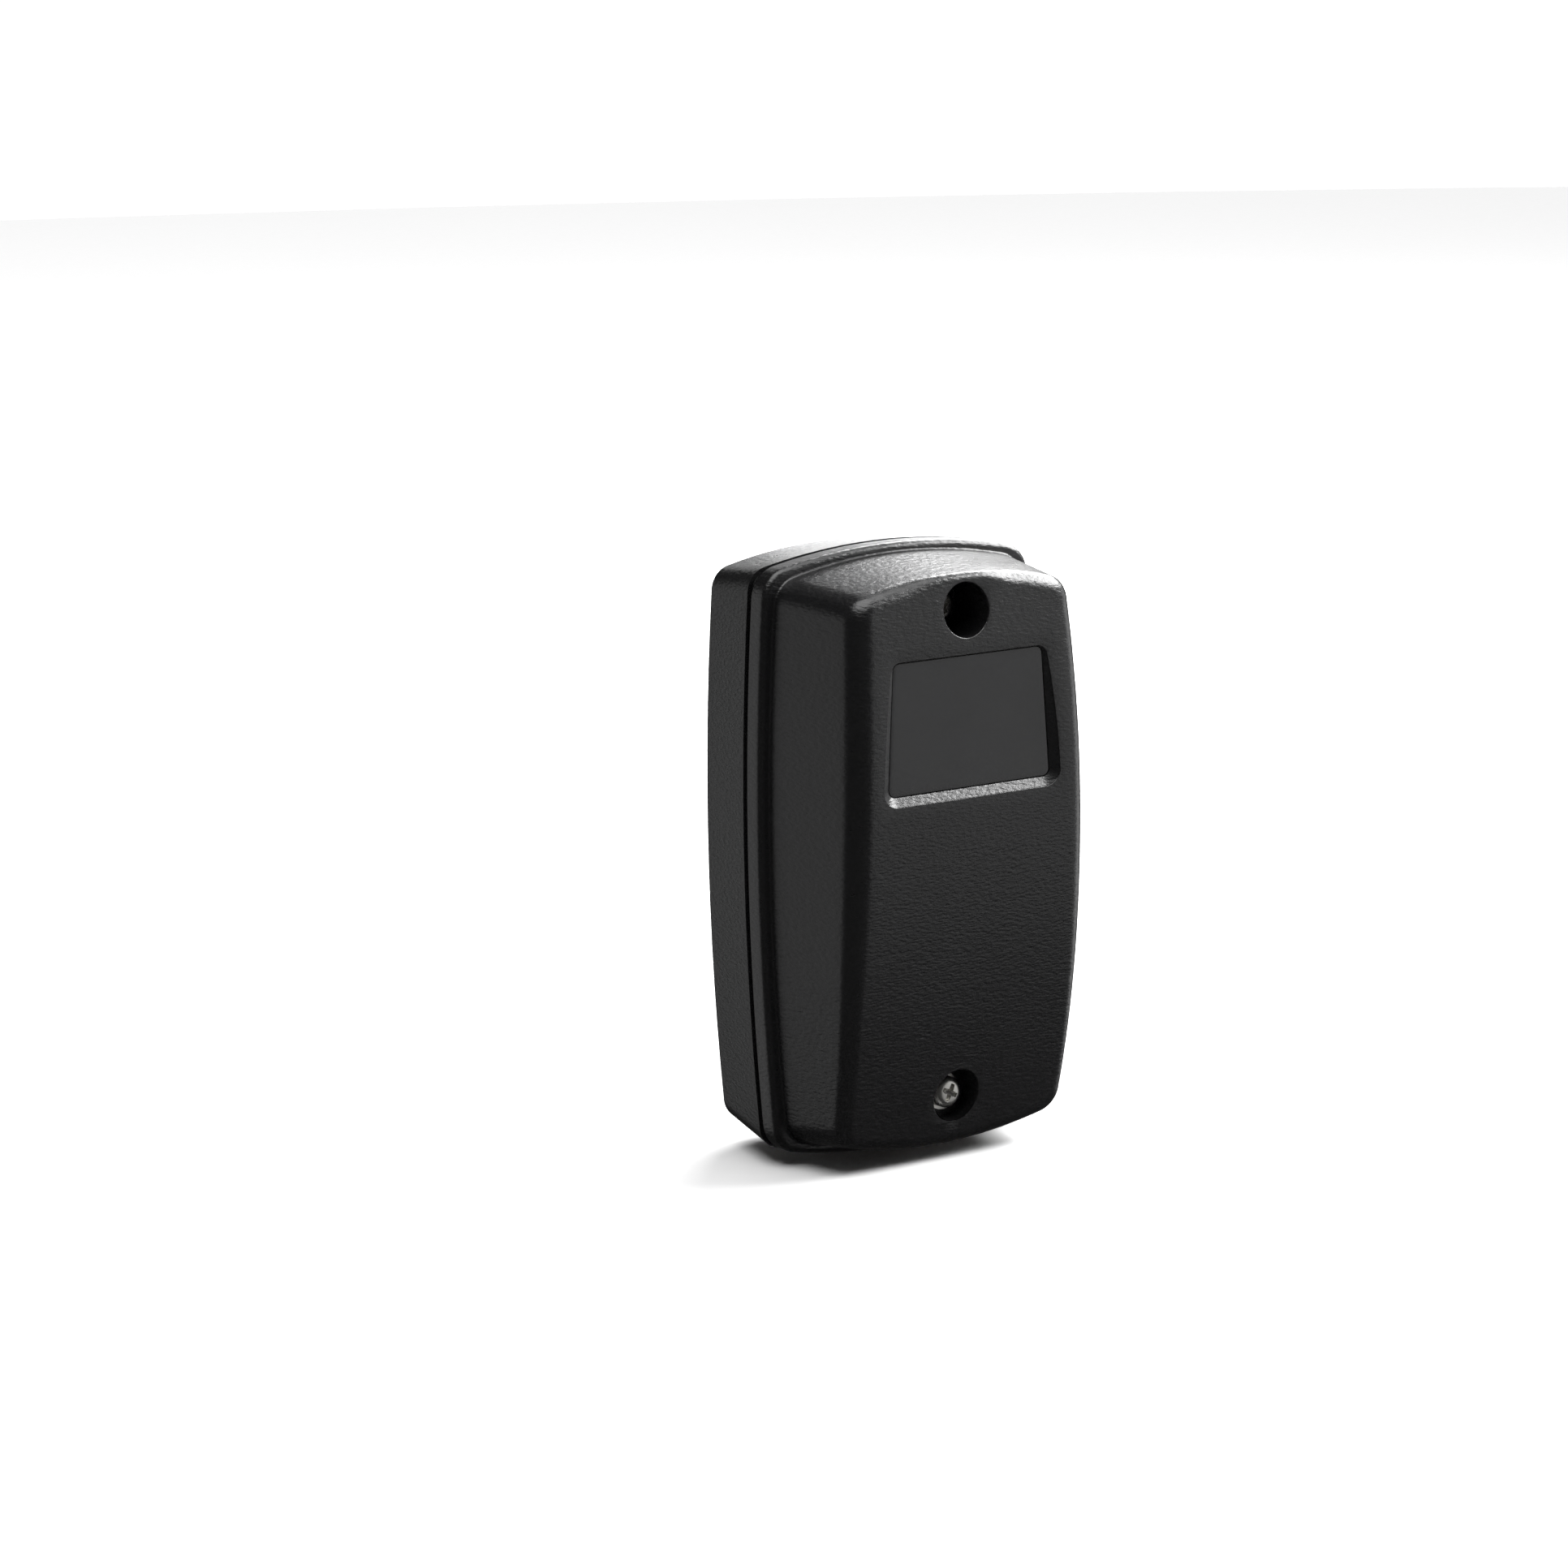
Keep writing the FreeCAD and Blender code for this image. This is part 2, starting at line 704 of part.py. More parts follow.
def circuit_board():
    body = new_body("circuit_board")
    sketch = new_sketch(body, "XZ_Plane")
    rectangle(sketch, -board_half_width, board_half_width, board_bottom, board_top)
    pad(body, sketch, S.board_thick)
    blend(body, "Fillet", runs_deep(1.0), 1.5)
    holes = new_sketch(body, "XZ_Plane", S.board_thick)
    for x, z in post_places:
        circle(holes, x, z, S.board_screw_radius + S.screw_hole_gap)
    pocket(body, holes, S.board_thick)
    place(body, depth=S.board_stand_off)
    return body


def board_screws():
    """Four self-tapping screws that hold the board on the box's posts."""
    screws = []
    shank = S.board_screw_length - 0.5
    for i, (x, z) in enumerate(post_places, start=1):
        screw = turned(f"board_screw_{i}", [(-shank, 0), (-shank, S.board_screw_radius),
                                            (0, S.board_screw_radius), (0, S.board_screw_head),
                                            (S.board_screw_cap, S.board_screw_head), (S.board_screw_cap, 0)],
                       x, board_front, z)
        blend(screw, "Fillet", lies_at(S.board_screw_cap), 0.7)
        for wide, tall in ((0.35, 1.3), (1.3, 0.35)):
            slot = new_sketch(screw, "XZ_Plane", S.board_screw_cap)
            rectangle(slot, -size(wide), wide, -size(tall), tall)
            pocket(screw, slot, 0.8)
        screws.append(screw)
    return group("board_screws", screws)


def lens_holder():
    """A stepped black tube from the board to the lens, with a lip inside its mouth as the lens's seat."""
    rise = lens_back - board_front
    top = rise + S.lens_edge + S.clip_thick
    wide = S.lens_radius + S.holder_wall
    foot = S.holder_foot_radius
    seat = S.lens_radius - S.holder_lip
    bore = S.lens_radius + S.fit_gap
    profile = [(0, foot - S.holder_wall), (0, foot), (rise / 2, foot), (rise * 0.7, wide), (top, wide),
               (top, bore), (rise, bore), (rise, seat), (rise * 0.7, seat), (rise / 2, foot - S.holder_wall)]
    return turned("lens_holder", profile, 0, board_front, lens_z)


def lens():
    """Plano-convex lens: a flat rim disc that the clip holds, and a crown cut from a ball."""
    crown_radius = S.lens_radius - S.holder_lip
    crown = S.lens_thick - S.lens_edge - S.lens_step
    ball_radius = (crown_radius * crown_radius + crown * crown) / (crown * 2)
    ball = doc.addObject("Part::Sphere", "lens_ball")
    bind(ball, "Radius", ball_radius)
    place(ball, 0, lens_front - ball_radius, lens_z)
    dome = doc.addObject("Part::Common", "lens_crown")
    dome.Base = rod(0, lens_z, lens_back, lens_front, crown_radius)
    dome.Tool = ball
    disc = rod(0, lens_z, lens_back, lens_back + S.lens_edge, S.lens_radius)
    return fused("lens", [disc, dome])


def lens_clip():
    """A snap ring that keeps the lens in its holder."""
    inner = S.lens_radius - S.holder_lip
    return turned("lens_clip", [(0, inner), (0, S.lens_radius), (S.clip_thick, S.lens_radius),
                                (S.clip_thick, inner)], 0, lens_back + S.lens_edge, lens_z)


def legs(places, reach, radius=0.4):
    """Round solder legs from inside a case down through the board to reach behind its back face."""
    return [rod(x, z, S.board_stand_off - reach, board_front + 0.8, radius) for x, z in places]


def photodiode():
    body = block("photodiode_case", -size(2.6), 2.6, lens_z - 3.0, lens_z + 3.0,
                 board_front, board_front + 3.0, 0.4)
    dome = doc.addObject("Part::Sphere", "photodiode_dome")
    bind(dome, "Radius", 1.7)
    place(dome, 0, board_front + 2.6, lens_z)
    pins = legs([(-1.27, lens_z - 1.0), (1.27, lens_z - 1.0)], 1.5)
    return fused("photodiode", [body, dome] + pins)


def relay():
    """Sealed change-over relay; its case is drafted a little and its legs go through the board."""
    left = -(board_half_width - 1.0)
    low = board_bottom + S.block_height + 2.2
    body = block("relay_case", left, left + 15.2, low, low + 19.0, board_front + 0.3, board_front + 15.5, 1.0)
    pins = legs([(left + 2.0, low + 2.0), (left + 13.2, low + 2.0), (left + 7.6, low + 17.0),
                 (left + 2.0, low + 14.0), (left + 13.2, low + 14.0)], 1.5, 0.5)
    return fused("relay", [body] + pins)


def power_capacitor():
    """Electrolytic capacitor standing on the board, with a vent cross on its top."""
    x, z = board_half_width - 17.0, board_bottom + S.block_height + 17.0
    can = turned("capacitor_can",
                 [(0, 0), (0, 3.9), (1.2, 4.0), (1.7, 3.7), (2.2, 4.0), (11.5, 4.0), (11.5, 0)],
                 x, board_front + 0.2, z)
    blend(can, "Fillet", lies_at(11.5), 0.5)
    for wide, tall in ((0.12, 2.6), (2.6, 0.12)):
        vent = new_sketch(can, "XZ_Plane", 11.5)
        rectangle(vent, -size(wide), wide, -size(tall), tall)
        pocket(can, vent, 0.2)
    pins = [rod(x + dx, z, S.board_stand_off - 1.5, board_front + 0.4, 0.3) for dx in (-1.75, 1.75)]
    return fused("power_capacitor", [can] + pins)


def control_chip():
    """Eight-pin chip in a dual in-line case."""
    x, z = board_half_width - 18.0, board_bottom + S.block_height + 7.0
    case = block("chip_case", x - 4.8, x + 4.8, z - 3.2, z + 3.2, board_front + 0.5, board_front + 3.8, 0.3)
    notch = new_sketch(case, "XZ_Plane", 3.3)
    circle(notch, x - 4.8, z, 0.8)
    pocket(case, notch, 0.6)
    parts = [case]
    for i in range(4):
        for side in (-1, 1):
            leg_x = x + (-3.81 + 2.54 * i)
            outer = z + side * 3.9
            parts.append(brick(leg_x - 0.5, leg_x + 0.5, *sorted_pair(z + side * 3.1, outer),
                               board_front + 1.9, board_front + 2.2))
            parts.append(brick(leg_x - 0.25, leg_x + 0.25, *sorted_pair(outer - side * 0.3, outer),
                               S.board_stand_off - 1.2, board_front + 2.2))
    return fused("control_chip", parts)


def sorted_pair(a, b):
    return (a, b) if a.value < b.value else (b, a)


def voltage_regulator():
    """Three-leg regulator in a small round case with a flat front."""
    x, z = board_half_width - 4.4, board_bottom + S.block_height + 23.0
    case = turned("regulator_case", [(1.5, 0), (1.5, 2.35), (6.2, 2.35), (6.2, 0)], x, board_front, z)
    flat = new_sketch(case, "XZ_Plane", 6.2)
    rectangle(flat, -size(3.0), 3.0, -size(3.0), -size(1.3))
    pocket(case, flat, 4.7)
    pins = [rod(x + dx, z, S.board_stand_off - 1.5, board_front + 1.6, 0.25) for dx in (-1.27, 0, 1.27)]
    return fused("voltage_regulator", [case] + pins)


def axial_parts(label, places, half_length, radius, lead):
    """Axial components lying along Z, each a body with a lead bent down through the board at either end."""
    pieces = []
    level = board_front + radius + 0.3
    for i, (x, z) in enumerate(places, start=1):
        body = rod(x, level, z - half_length, z + half_length, radius, along="z")
        wire = rod(x, level, z - half_length - 1.6, z + half_length + 1.6, lead, along="z")
        ends = [rod(x, z + side * (half_length + 1.6), S.board_stand_off - 1.2, level + lead, lead)
                for side in (-1, 1)]
        pieces.append(fused(f"{label}_{i}", [body, wire] + ends))
    return group(label, pieces)


def rectifier_diodes():
    places = [(-(board_half_width - inset), board_top - drop)
              for inset in (2.6, 6.4) for drop in (12.0, 21.6)]
    return axial_parts("rectifier_diodes", places, 2.6, 1.35, 0.4)


def resistors():
    places = [(board_half_width - inset, board_top - 13.5) for inset in (2.0, 4.6, 7.2)]
    return axial_parts("resistors", places, 1.8, 0.9, 0.28)


def status_led():
    """3 mm indicator lamp beside the lens, seen through the window's filter."""
    x, z = -(board_half_width - 8.3), board_top - 2.6
    lamp = turned("led_case", [(0, 0), (0, 1.9), (1.0, 1.9), (1.0, 1.5), (4.0, 1.5), (4.0, 0)],
                  x, board_front + 2.0, z)
    dome = doc.addObject("Part::Sphere", "led_dome")
    bind(dome, "Radius", 1.5)
    place(dome, x, board_front + 6.0, z)
    pins = [rod(x + dx, z, S.board_stand_off - 1.5, board_front + 2.1, 0.25) for dx in (-1.27, 1.27)]
    return fused("status_led", [lamp, dome] + pins)


# ---------------------------------------------------------------- terminal block

block_low = board_bottom
block_high = board_bottom + S.block_height
block_front = board_front + S.block_rise
cage_centre_z = board_bottom + S.block_height * 0.44
cage_floor = board_front + 1.3
cavity_front = cage_floor + S.cage_rise + S.cage_travel + S.cage_gap * 2
clamp_ledge = cavity_front + 0.8
tongue_back = cage_floor + S.cage_gap + S.cage_travel + S.cage_wall + 0.1
way_places = [S.way_pitch * i for i in (-2, -1, 0, 1, 2)]


def terminal_block():
    """Five-way moulded block: wire mouths face down, clamp screws face the front."""
    body = new_body("terminal_block")
    sketch = new_sketch(body, "XZ_Plane", board_front)
    rectangle(sketch, -S.block_width / 2, S.block_width / 2, block_low, block_high)
    pad(body, sketch, S.block_rise)
    blend(body, "Fillet", lambda e: lies_at(block_front)(e)
          and abs(e.CenterOfMass.z - block_high.value) < 0.01, 1.2)
    half = S.cage_width / 2 + S.cage_gap
    cavities = new_sketch(body, "XZ_Plane", cavity_front)
    for x in way_places:
        rectangle(cavities, x - half, x + half, block_low - 1.0, cage_centre_z + S.cage_height / 2 + 1.2)
    pocket(body, cavities, cavity_front - cage_floor)
    shafts = new_sketch(body, "XZ_Plane", block_front)
    for x in way_places:
        circle(shafts, x, cage_centre_z, S.clamp_screw_radius + S.thread_gap)
    pocket(body, shafts, block_front - cavity_front)
    heads = new_sketch(body, "XZ_Plane", block_front)
    for x in way_places:
        circle(heads, x, cage_centre_z, S.clamp_head_radius + S.thread_gap)
    pocket(body, heads, block_front - clamp_ledge)
    return body


def terminal_cage(index, x):
    """Rising cage: a square loop that draws the wire up against the fixed tongue."""
    body = new_body(f"terminal_cage_{index}")
    rise = S.cage_rise
    wall = S.cage_wall
    outline = new_sketch(body, "XZ_Plane")
    half_x, half_z = S.cage_width / 2, S.cage_height / 2
    rectangle(outline, -half_x, half_x, -half_z, half_z)
    pad(body, outline, rise)
    mouth = new_sketch(body, "XZ_Plane", rise - wall * 1.5)
    rectangle(mouth, -half_x + wall, half_x - wall, -half_z - 1.0, half_z + 1.0)
    pocket(body, mouth, rise - wall * 2.5)
    tapped = new_sketch(body, "XZ_Plane", rise)
    circle(tapped, 0, 0, S.clamp_screw_radius + S.thread_gap)
    pocket(body, tapped, wall * 2)
    place(body, x, cage_floor + S.cage_gap, cage_centre_z)
    return body


def terminal_screw(index, x):
    """Captive clamp screw that turns in place and drives its cage."""
    reach = clamp_ledge - (tongue_back + 0.6 + 0.35)
    body = turned(f"terminal_screw_{index}",
                  [(-reach, 0), (-reach, S.clamp_screw_radius), (0, S.clamp_screw_radius),
                   (0, S.clamp_head_radius), (S.clamp_head_height, S.clamp_head_radius),
                   (S.clamp_head_height, 0)],
                  x, clamp_ledge, cage_centre_z)
    slot = new_sketch(body, "XZ_Plane", S.clamp_head_height)
    rectangle(slot, -size(2.0), 2.0, -size(0.3), 0.3)
    pocket(body, slot, S.clamp_head_height / 2)
    return body


def terminal_contacts():
    """Fixed contact tongues inside the cages, each with a solder leg at its back end."""
    tongues = []
    back_end = cage_centre_z + S.cage_height / 2 + 1.2
    for i, x in enumerate(way_places, start=1):
        tongue = brick(x - 1.1, x + 1.1, block_low + 0.8, back_end, tongue_back, tongue_back + 0.6)
        leg = brick(x - 0.5, x + 0.5, back_end - 0.7, back_end, S.board_stand_off - 1.5, tongue_back + 0.6)
        tongues.append(fused(f"contact_{i}", [tongue, leg]))
    return group("terminal_contacts", tongues)


# ---------------------------------------------------------------- trimmer and mode switch

trimmer_x = board_half_width - 5.0
trimmer_z = block_high + 14.6
switch_x = board_half_width - 5.0
switch_z = block_high + 6.4


def range_trimmer():
    """Single-turn trimmer body with a round socket for its rotor."""
    half = S.trimmer_width / 2
    body = block("range_trimmer", trimmer_x - half, trimmer_x + half, trimmer_z - half, trimmer_z + half,
                 board_front, board_front + S.trimmer_height, 0.5)
    socket = new_sketch(body, "XZ_Plane", S.trimmer_height)
    circle(socket, trimmer_x, trimmer_z, S.rotor_radius + S.thread_gap)
    pocket(body, socket, S.trimmer_height / 2)
    return body


def trimmer_rotor():
    rise = S.trimmer_height / 2
    body = turned("trimmer_rotor", [(0, 0), (0, S.rotor_radius), (rise, S.rotor_radius), (rise, 0)],
                  trimmer_x, board_front + S.trimmer_height / 2, trimmer_z)
    for wide, tall in ((0.35, 1.7), (1.2, 0.35)):
        slot = new_sketch(body, "XZ_Plane", rise)
        rectangle(slot, -size(wide), wide, -size(tall), tall)
        pocket(body, slot, rise / 2)
    return body


slider_low = switch_z - S.slider_travel
slider_level = board_front + S.switch_rise - 1.2


def mode_switch():
    """Two-way slide switch body with a slot for each slider."""
    half_x, half_z = S.switch_width / 2, S.switch_height / 2
    body = block("mode_switch", switch_x - half_x, switch_x + half_x, switch_z - half_z, switch_z + half_z,
                 board_front, board_front + S.switch_rise, 0.3)
    slots = new_sketch(body, "XZ_Plane", S.switch_rise)
    for side in (-1, 1):
        x = switch_x + side * 1.27
        rectangle(slots, x - S.slider_width / 2 - S.thread_gap, x + S.slider_width / 2 + S.thread_gap,
                  slider_low - S.cage_gap, slider_low + S.slider_travel * 2 + S.cage_gap)
    pocket(body, slots, 1.25)
    return body


def mode_slider(index, side):
    """One slider at the lower end of its slot; it stands proud so a screwdriver tip can push it."""
    x = switch_x + side * 1.27
    half = S.slider_width / 2
    return block(f"mode_slider_{index}", x - half, x + half, slider_low, slider_low + S.slider_travel,
                 slider_level, board_front + S.switch_rise + 0.7)


# ---------------------------------------------------------------- build, check and write

SUB_PARTS = [
    rear_box(), cover_gasket(), front_cover(), window_filter(), window_seal(),
    cover_screw("top_screw", top_screw_z), cover_screw("bottom_screw", bottom_screw_z),
    screw_washer("top_screw_washer", top_screw_z), screw_washer("bottom_screw_washer", bottom_screw_z),
    cover_screw_inserts(), cable_grommet(), circuit_board(), board_screws(),
    lens_holder(), lens(), lens_clip(), photodiode(), relay(), power_capacitor(), control_chip(),
    voltage_regulator(), rectifier_diodes(), resistors(), status_led(),
    terminal_block(), terminal_contacts(), range_trimmer(), trimmer_rotor(), mode_switch(),
    mode_slider(1, -1), mode_slider(2, 1),
]
for number, way_x in enumerate(way_places, start=1):
    SUB_PARTS.append(terminal_cage(number, way_x))
    SUB_PARTS.append(terminal_screw(number, way_x))

doc.recompute()
for thing in doc.Objects:
    if {"Invalid", "Error"} & set(thing.State):
        raise RuntimeError(f"{thing.Label} did not build: {thing.State}")
os.makedirs("parts", exist_ok=True)
for part in SUB_PARTS:
    if part.Shape.isNull() or not part.Shape.isValid():
        raise RuntimeError(f"{part.Label} has no valid shape")
for part in SUB_PARTS:
    part.Shape.exportStep(f"parts/{part.Label}.step")
    print(f"{part.Label}: {len(part.Shape.Solids)} solid(s), {part.Shape.Volume:.1f} mm3")
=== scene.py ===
import json
import math

import bmesh
import bpy
import numpy as np
from mathutils import Matrix, Vector
from mathutils.geometry import delaunay_2d_cdt


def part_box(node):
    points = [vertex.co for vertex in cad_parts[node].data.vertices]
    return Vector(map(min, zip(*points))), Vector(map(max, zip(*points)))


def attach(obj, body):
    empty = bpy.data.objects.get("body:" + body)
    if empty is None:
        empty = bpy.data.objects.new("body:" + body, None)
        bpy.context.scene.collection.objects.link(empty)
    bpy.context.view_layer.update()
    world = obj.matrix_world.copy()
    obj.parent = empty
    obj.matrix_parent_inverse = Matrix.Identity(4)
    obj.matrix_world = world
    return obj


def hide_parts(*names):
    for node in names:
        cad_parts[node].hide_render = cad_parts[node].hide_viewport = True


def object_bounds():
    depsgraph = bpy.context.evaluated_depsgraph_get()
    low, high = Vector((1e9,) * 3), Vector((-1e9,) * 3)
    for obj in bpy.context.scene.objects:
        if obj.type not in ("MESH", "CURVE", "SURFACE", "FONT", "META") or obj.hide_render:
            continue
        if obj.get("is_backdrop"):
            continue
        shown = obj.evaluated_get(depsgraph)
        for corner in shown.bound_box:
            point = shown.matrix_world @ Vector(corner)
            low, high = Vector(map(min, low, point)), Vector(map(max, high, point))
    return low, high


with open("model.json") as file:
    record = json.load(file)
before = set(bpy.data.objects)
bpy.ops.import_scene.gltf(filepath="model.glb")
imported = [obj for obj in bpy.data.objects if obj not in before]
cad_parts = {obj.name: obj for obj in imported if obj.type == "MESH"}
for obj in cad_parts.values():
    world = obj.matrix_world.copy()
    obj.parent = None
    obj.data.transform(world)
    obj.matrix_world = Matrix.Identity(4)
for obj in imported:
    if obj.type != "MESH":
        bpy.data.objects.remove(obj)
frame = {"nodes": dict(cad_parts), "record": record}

bl_info = {
    "name": "Gate photocell finish",
    "version": (1, 0, 0),
    "blender": (4, 5, 0),
    "location": "3D Viewport > Sidebar > Photocell",
    "description": "Builds the outer skin, screws, lens and finishes of a wall-mounted gate photocell",
    "category": "Object",
}

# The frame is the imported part's own: the origin is the centre of the back face, on the wall, X is to the
# right as one faces the unit, +Y goes into the wall and +Z is up. A depth is a distance from the wall
# towards the front, so a point at depth d has y = -d. Shapes are worked out in millimetres.
MM = 0.001
PER_MM = 1000.0         # over a pattern's size in millimetres, gives its scale
QUARTER, TURN = math.pi / 2, 2 * math.pi
HIDDEN = 0.02           # how far a skin's unseen edge lies past the surface it ends on, in mm
ROOT_BODY = "housing"


# -------------------- sizes and colours a user may change

def length(name, description, millimetres):
    """A length, given here in millimetres."""
    return bpy.props.FloatProperty(name=name, description=description, default=millimetres * MM,
                                   min=0.0, unit="LENGTH", precision=5)


def hex_code(name, description, code):
    """A colour, given as sRGB hex."""
    return bpy.props.StringProperty(name=name, description=description + ", as sRGB hex", default=code)


def in_mm(group):
    """The sizes in a property group, in millimetres."""
    return {key: getattr(group, key) / MM for key in type(group).__annotations__}


class PHOTOCELL_PG_case(bpy.types.PropertyGroup):
    half_width: length("Half width", "Half the width of the joint's outline", 30.7)
    half_height: length("Half height", "Half the height of the joint's outline", 55.0)
    side_bow: length("Side bow", "How far the long sides bulge past the corners", 2.3)
    end_bow: length("End bow", "How far the top and bottom arch past the corners", 3.4)
    rim_corner: length("Rim corner", "Corner radius of the cover's rim", 5.8)
    rim_back: length("Rim back", "Depth of the rim's back face", 17.5)
    rim_thick: length("Rim thickness", "Depth of the rim from back to front", 4.1)
    rim_round: length("Rim rounding", "Radius of the rim's front edge", 1.2)
    shoulder: length("Shoulder", "How far the domed block stands in from the rim", 1.3)
    cove: length("Cove", "Radius of the hollow between rim and block", 0.5)
    block_corner: length("Block corner", "Corner radius of the domed block", 5.2)
    block_rise: length("Block rise", "Depth over which the block's tapers are reached", 28.6)
    side_taper: length("Side taper", "How far the long sides draw in over the block's rise", 4.85)
    end_taper: length("End taper", "How far the ends draw in over the block's rise", 2.8)
    face_depth: length("Face depth", "Depth of the face's foremost line", 43.1)
    face_radius: length("Face radius", "Radius of the face's curve from top to bottom", 278.0)
    face_apex: length("Face apex", "Height of the face's foremost line", 17.15)
    side_round: length("Side rounding", "Radius between the face and the sides at mid-height", 4.3)
    foot_round: length("Foot rounding", "Radius between the face and the sides near the foot", 3.1)
    end_round: length("End rounding", "Radius between the face and the ends", 3.1)
    well_round: length("Rounding at the well", "Radius between the face and the top end beside the well", 1.4)


class PHOTOCELL_PG_details(bpy.types.PropertyGroup):
    top_screw: length("Top screw height", "Height of the top screw above the middle", 45.05)
    bottom_screw: length("Bottom screw drop", "Distance of the bottom screw below the middle", 42.65)
    well_radius: length("Well radius", "Radius of the wells that the screws sit in", 4.8)
    well_edge: length("Well edge", "Radius of the rounded mouth of each well", 0.22)
    seat_depth: length("Seat depth", "Depth of the wells' floors", 31.8)
    head_seat: length("Head seat", "Depth of the underside of the screw heads", 32.3)
    head_radius: length("Head radius", "Radius of a pan head", 2.85)
    head_height: length("Head height", "Height of a pan head", 2.4)
    shank_radius: length("Shank radius", "Outside radius of the screw thread", 1.5)
    shank_length: length("Shank length", "Length of the screw below its head", 20.0)
    thread_pitch: length("Thread pitch", "Distance between two turns of the thread", 0.5)
    window_top: length("Window top", "Height of the window's top edge", 37.2)
    window_bottom: length("Window bottom", "Height of the window's bottom edge", 13.9)
    window_half_top: length("Window half top", "Half the window's width at its top edge", 16.0)
    window_half_bottom: length("Window half bottom", "Half the window's width at its bottom edge", 17.4)
    window_corner: length("Window corner", "Corner radius of the window", 1.3)
    window_front: length("Window front", "Depth of the window's front face", 41.9)
    filter_thick: length("Filter thickness", "Thickness of the window's dark plate", 1.3)


class PHOTOCELL_PG_colours(bpy.types.PropertyGroup):
    case: hex_code("Case", "Colour of the case", "#0b0b0c")
    window: hex_code("Window", "Colour of the window", "#0d0d0e")
    board: hex_code("Board", "Solder mask colour", "#1d5c34")
    terminals: hex_code("Terminals", "Terminal block colour", "#2f8f4e")
    floor: hex_code("Floor", "Studio floor colour", "#f4f4f4")


# -------------------- shapes as whole arrays

def smooth_step(value):
    """0 below 0, 1 above 1, and 3t^2 - 2t^3 between."""
    t = np.clip(value, 0.0, 1.0)
    return t * t * (3.0 - 2.0 * t)


def outline(half_width, half_height, side_bow, end_bow, corner, steps=(60, 10, 34)):
    """A closed loop of four shallow arcs joined by four corner arcs, anticlockwise from the lower right,
    with steps points on a side, a corner and an end.

    A side arc through (half_width, 0) that draws in by side_bow at the corners has radius
    (h^2 + bow^2) / (2 bow), where h is half its height; the end arcs are alike. A corner arc's centre is
    where circles of radius (arc radius - corner) about both arc centres meet, so it is tangent to both.
    Returns the points and their outward normals, one row each."""
    tall, wide = half_height - end_bow, half_width - side_bow
    side_radius = (tall * tall + side_bow * side_bow) / (2.0 * side_bow)
    end_radius = (wide * wide + end_bow * end_bow) / (2.0 * end_bow)
    side_centre = np.array([half_width - side_radius, 0.0])
    end_centre = np.array([0.0, half_height - end_radius])
    gap = end_centre - side_centre
    reach = np.hypot(*gap)
    along = ((side_radius - corner) ** 2 - (end_radius - corner) ** 2 + reach * reach) / (2.0 * reach)
    across = math.sqrt((side_radius - corner) ** 2 - along * along)
    unit = gap / reach
    corner_centre = side_centre + unit * along + np.array([-unit[1], unit[0]]) * across
    low = math.atan2(corner_centre[1], corner_centre[0] - side_centre[0])
    high = math.atan2(corner_centre[1] - end_centre[1], corner_centre[0])
    cx, cz = corner_centre
    half = math.pi
    arcs = [((side_centre[0], 0.0), side_radius, -low, low, steps[0]),
            ((cx, cz), corner, low, high, steps[1]),
            ((0.0, end_centre[1]), end_radius, high, half - high, steps[2]),
            ((-cx, cz), corner, half - high, half - low, steps[1]),
            ((-side_centre[0], 0.0), side_radius, half - low, half + low, steps[0]),
            ((-cx, -cz), corner, half + low, half + high, steps[1]),
            ((0.0, -end_centre[1]), end_radius, half + high, TURN - high, steps[2]),
            ((cx, -cz), corner, TURN - high, TURN - low, steps[1])]
    points, normals = [], []
    for centre, radius, start, stop, count in arcs:
        angle = np.linspace(start, stop, count, endpoint=False)
        facing = np.stack([np.cos(angle), np.sin(angle)], axis=1)
        points.append(np.array(centre) + radius * facing)
        normals.append(facing)
    return np.concatenate(points), np.concatenate(normals)


def trapezium(half_top, half_bottom, top, bottom, corner, steps=(34, 8)):
    """A trapezium with rounded corners, anticlockwise, as points and outward normals, with steps points on
    a side and a corner.

    Each straight side is moved in by the corner radius; the corners are arcs about the crossings of the
    moved sides, and the sides between them are divided evenly."""
    corners = np.array([[half_bottom, bottom], [half_top, top], [-half_top, top], [-half_bottom, bottom]])
    sides = np.roll(corners, -1, axis=0) - corners
    facing = np.stack([sides[:, 1], -sides[:, 0]], axis=1) / np.linalg.norm(sides, axis=1)[:, None]
    before = np.roll(facing, 1, axis=0)
    middle = before + facing
    middle /= np.einsum("ij,ij->i", middle, facing)[:, None]
    centres = corners - middle * corner
    points, normals = [], []
    for i in range(4):
        start = math.atan2(before[i, 1], before[i, 0])
        stop = math.atan2(facing[i, 1], facing[i, 0])
        stop += TURN * (stop < start)
        angle = np.linspace(start, stop, steps[1])
        arc = np.stack([np.cos(angle), np.sin(angle)], axis=1)
        points.append(centres[i] + corner * arc)
        normals.append(arc)
        begin, end = centres[i] + corner * facing[i], centres[(i + 1) % 4] + corner * facing[i]
        share = np.linspace(0.0, 1.0, steps[0] + 1)[1:-1, None]
        points.append(begin + (end - begin) * share)
        normals.append(np.repeat(facing[i][None], len(share), axis=0))
    return np.concatenate(points), np.concatenate(normals)


def window_outline(mm):
    """The window's edge and its outward normals, from the details' sizes."""
    return trapezium(mm["window_half_top"], mm["window_half_bottom"], mm["window_top"],
                     mm["window_bottom"], mm["window_corner"])


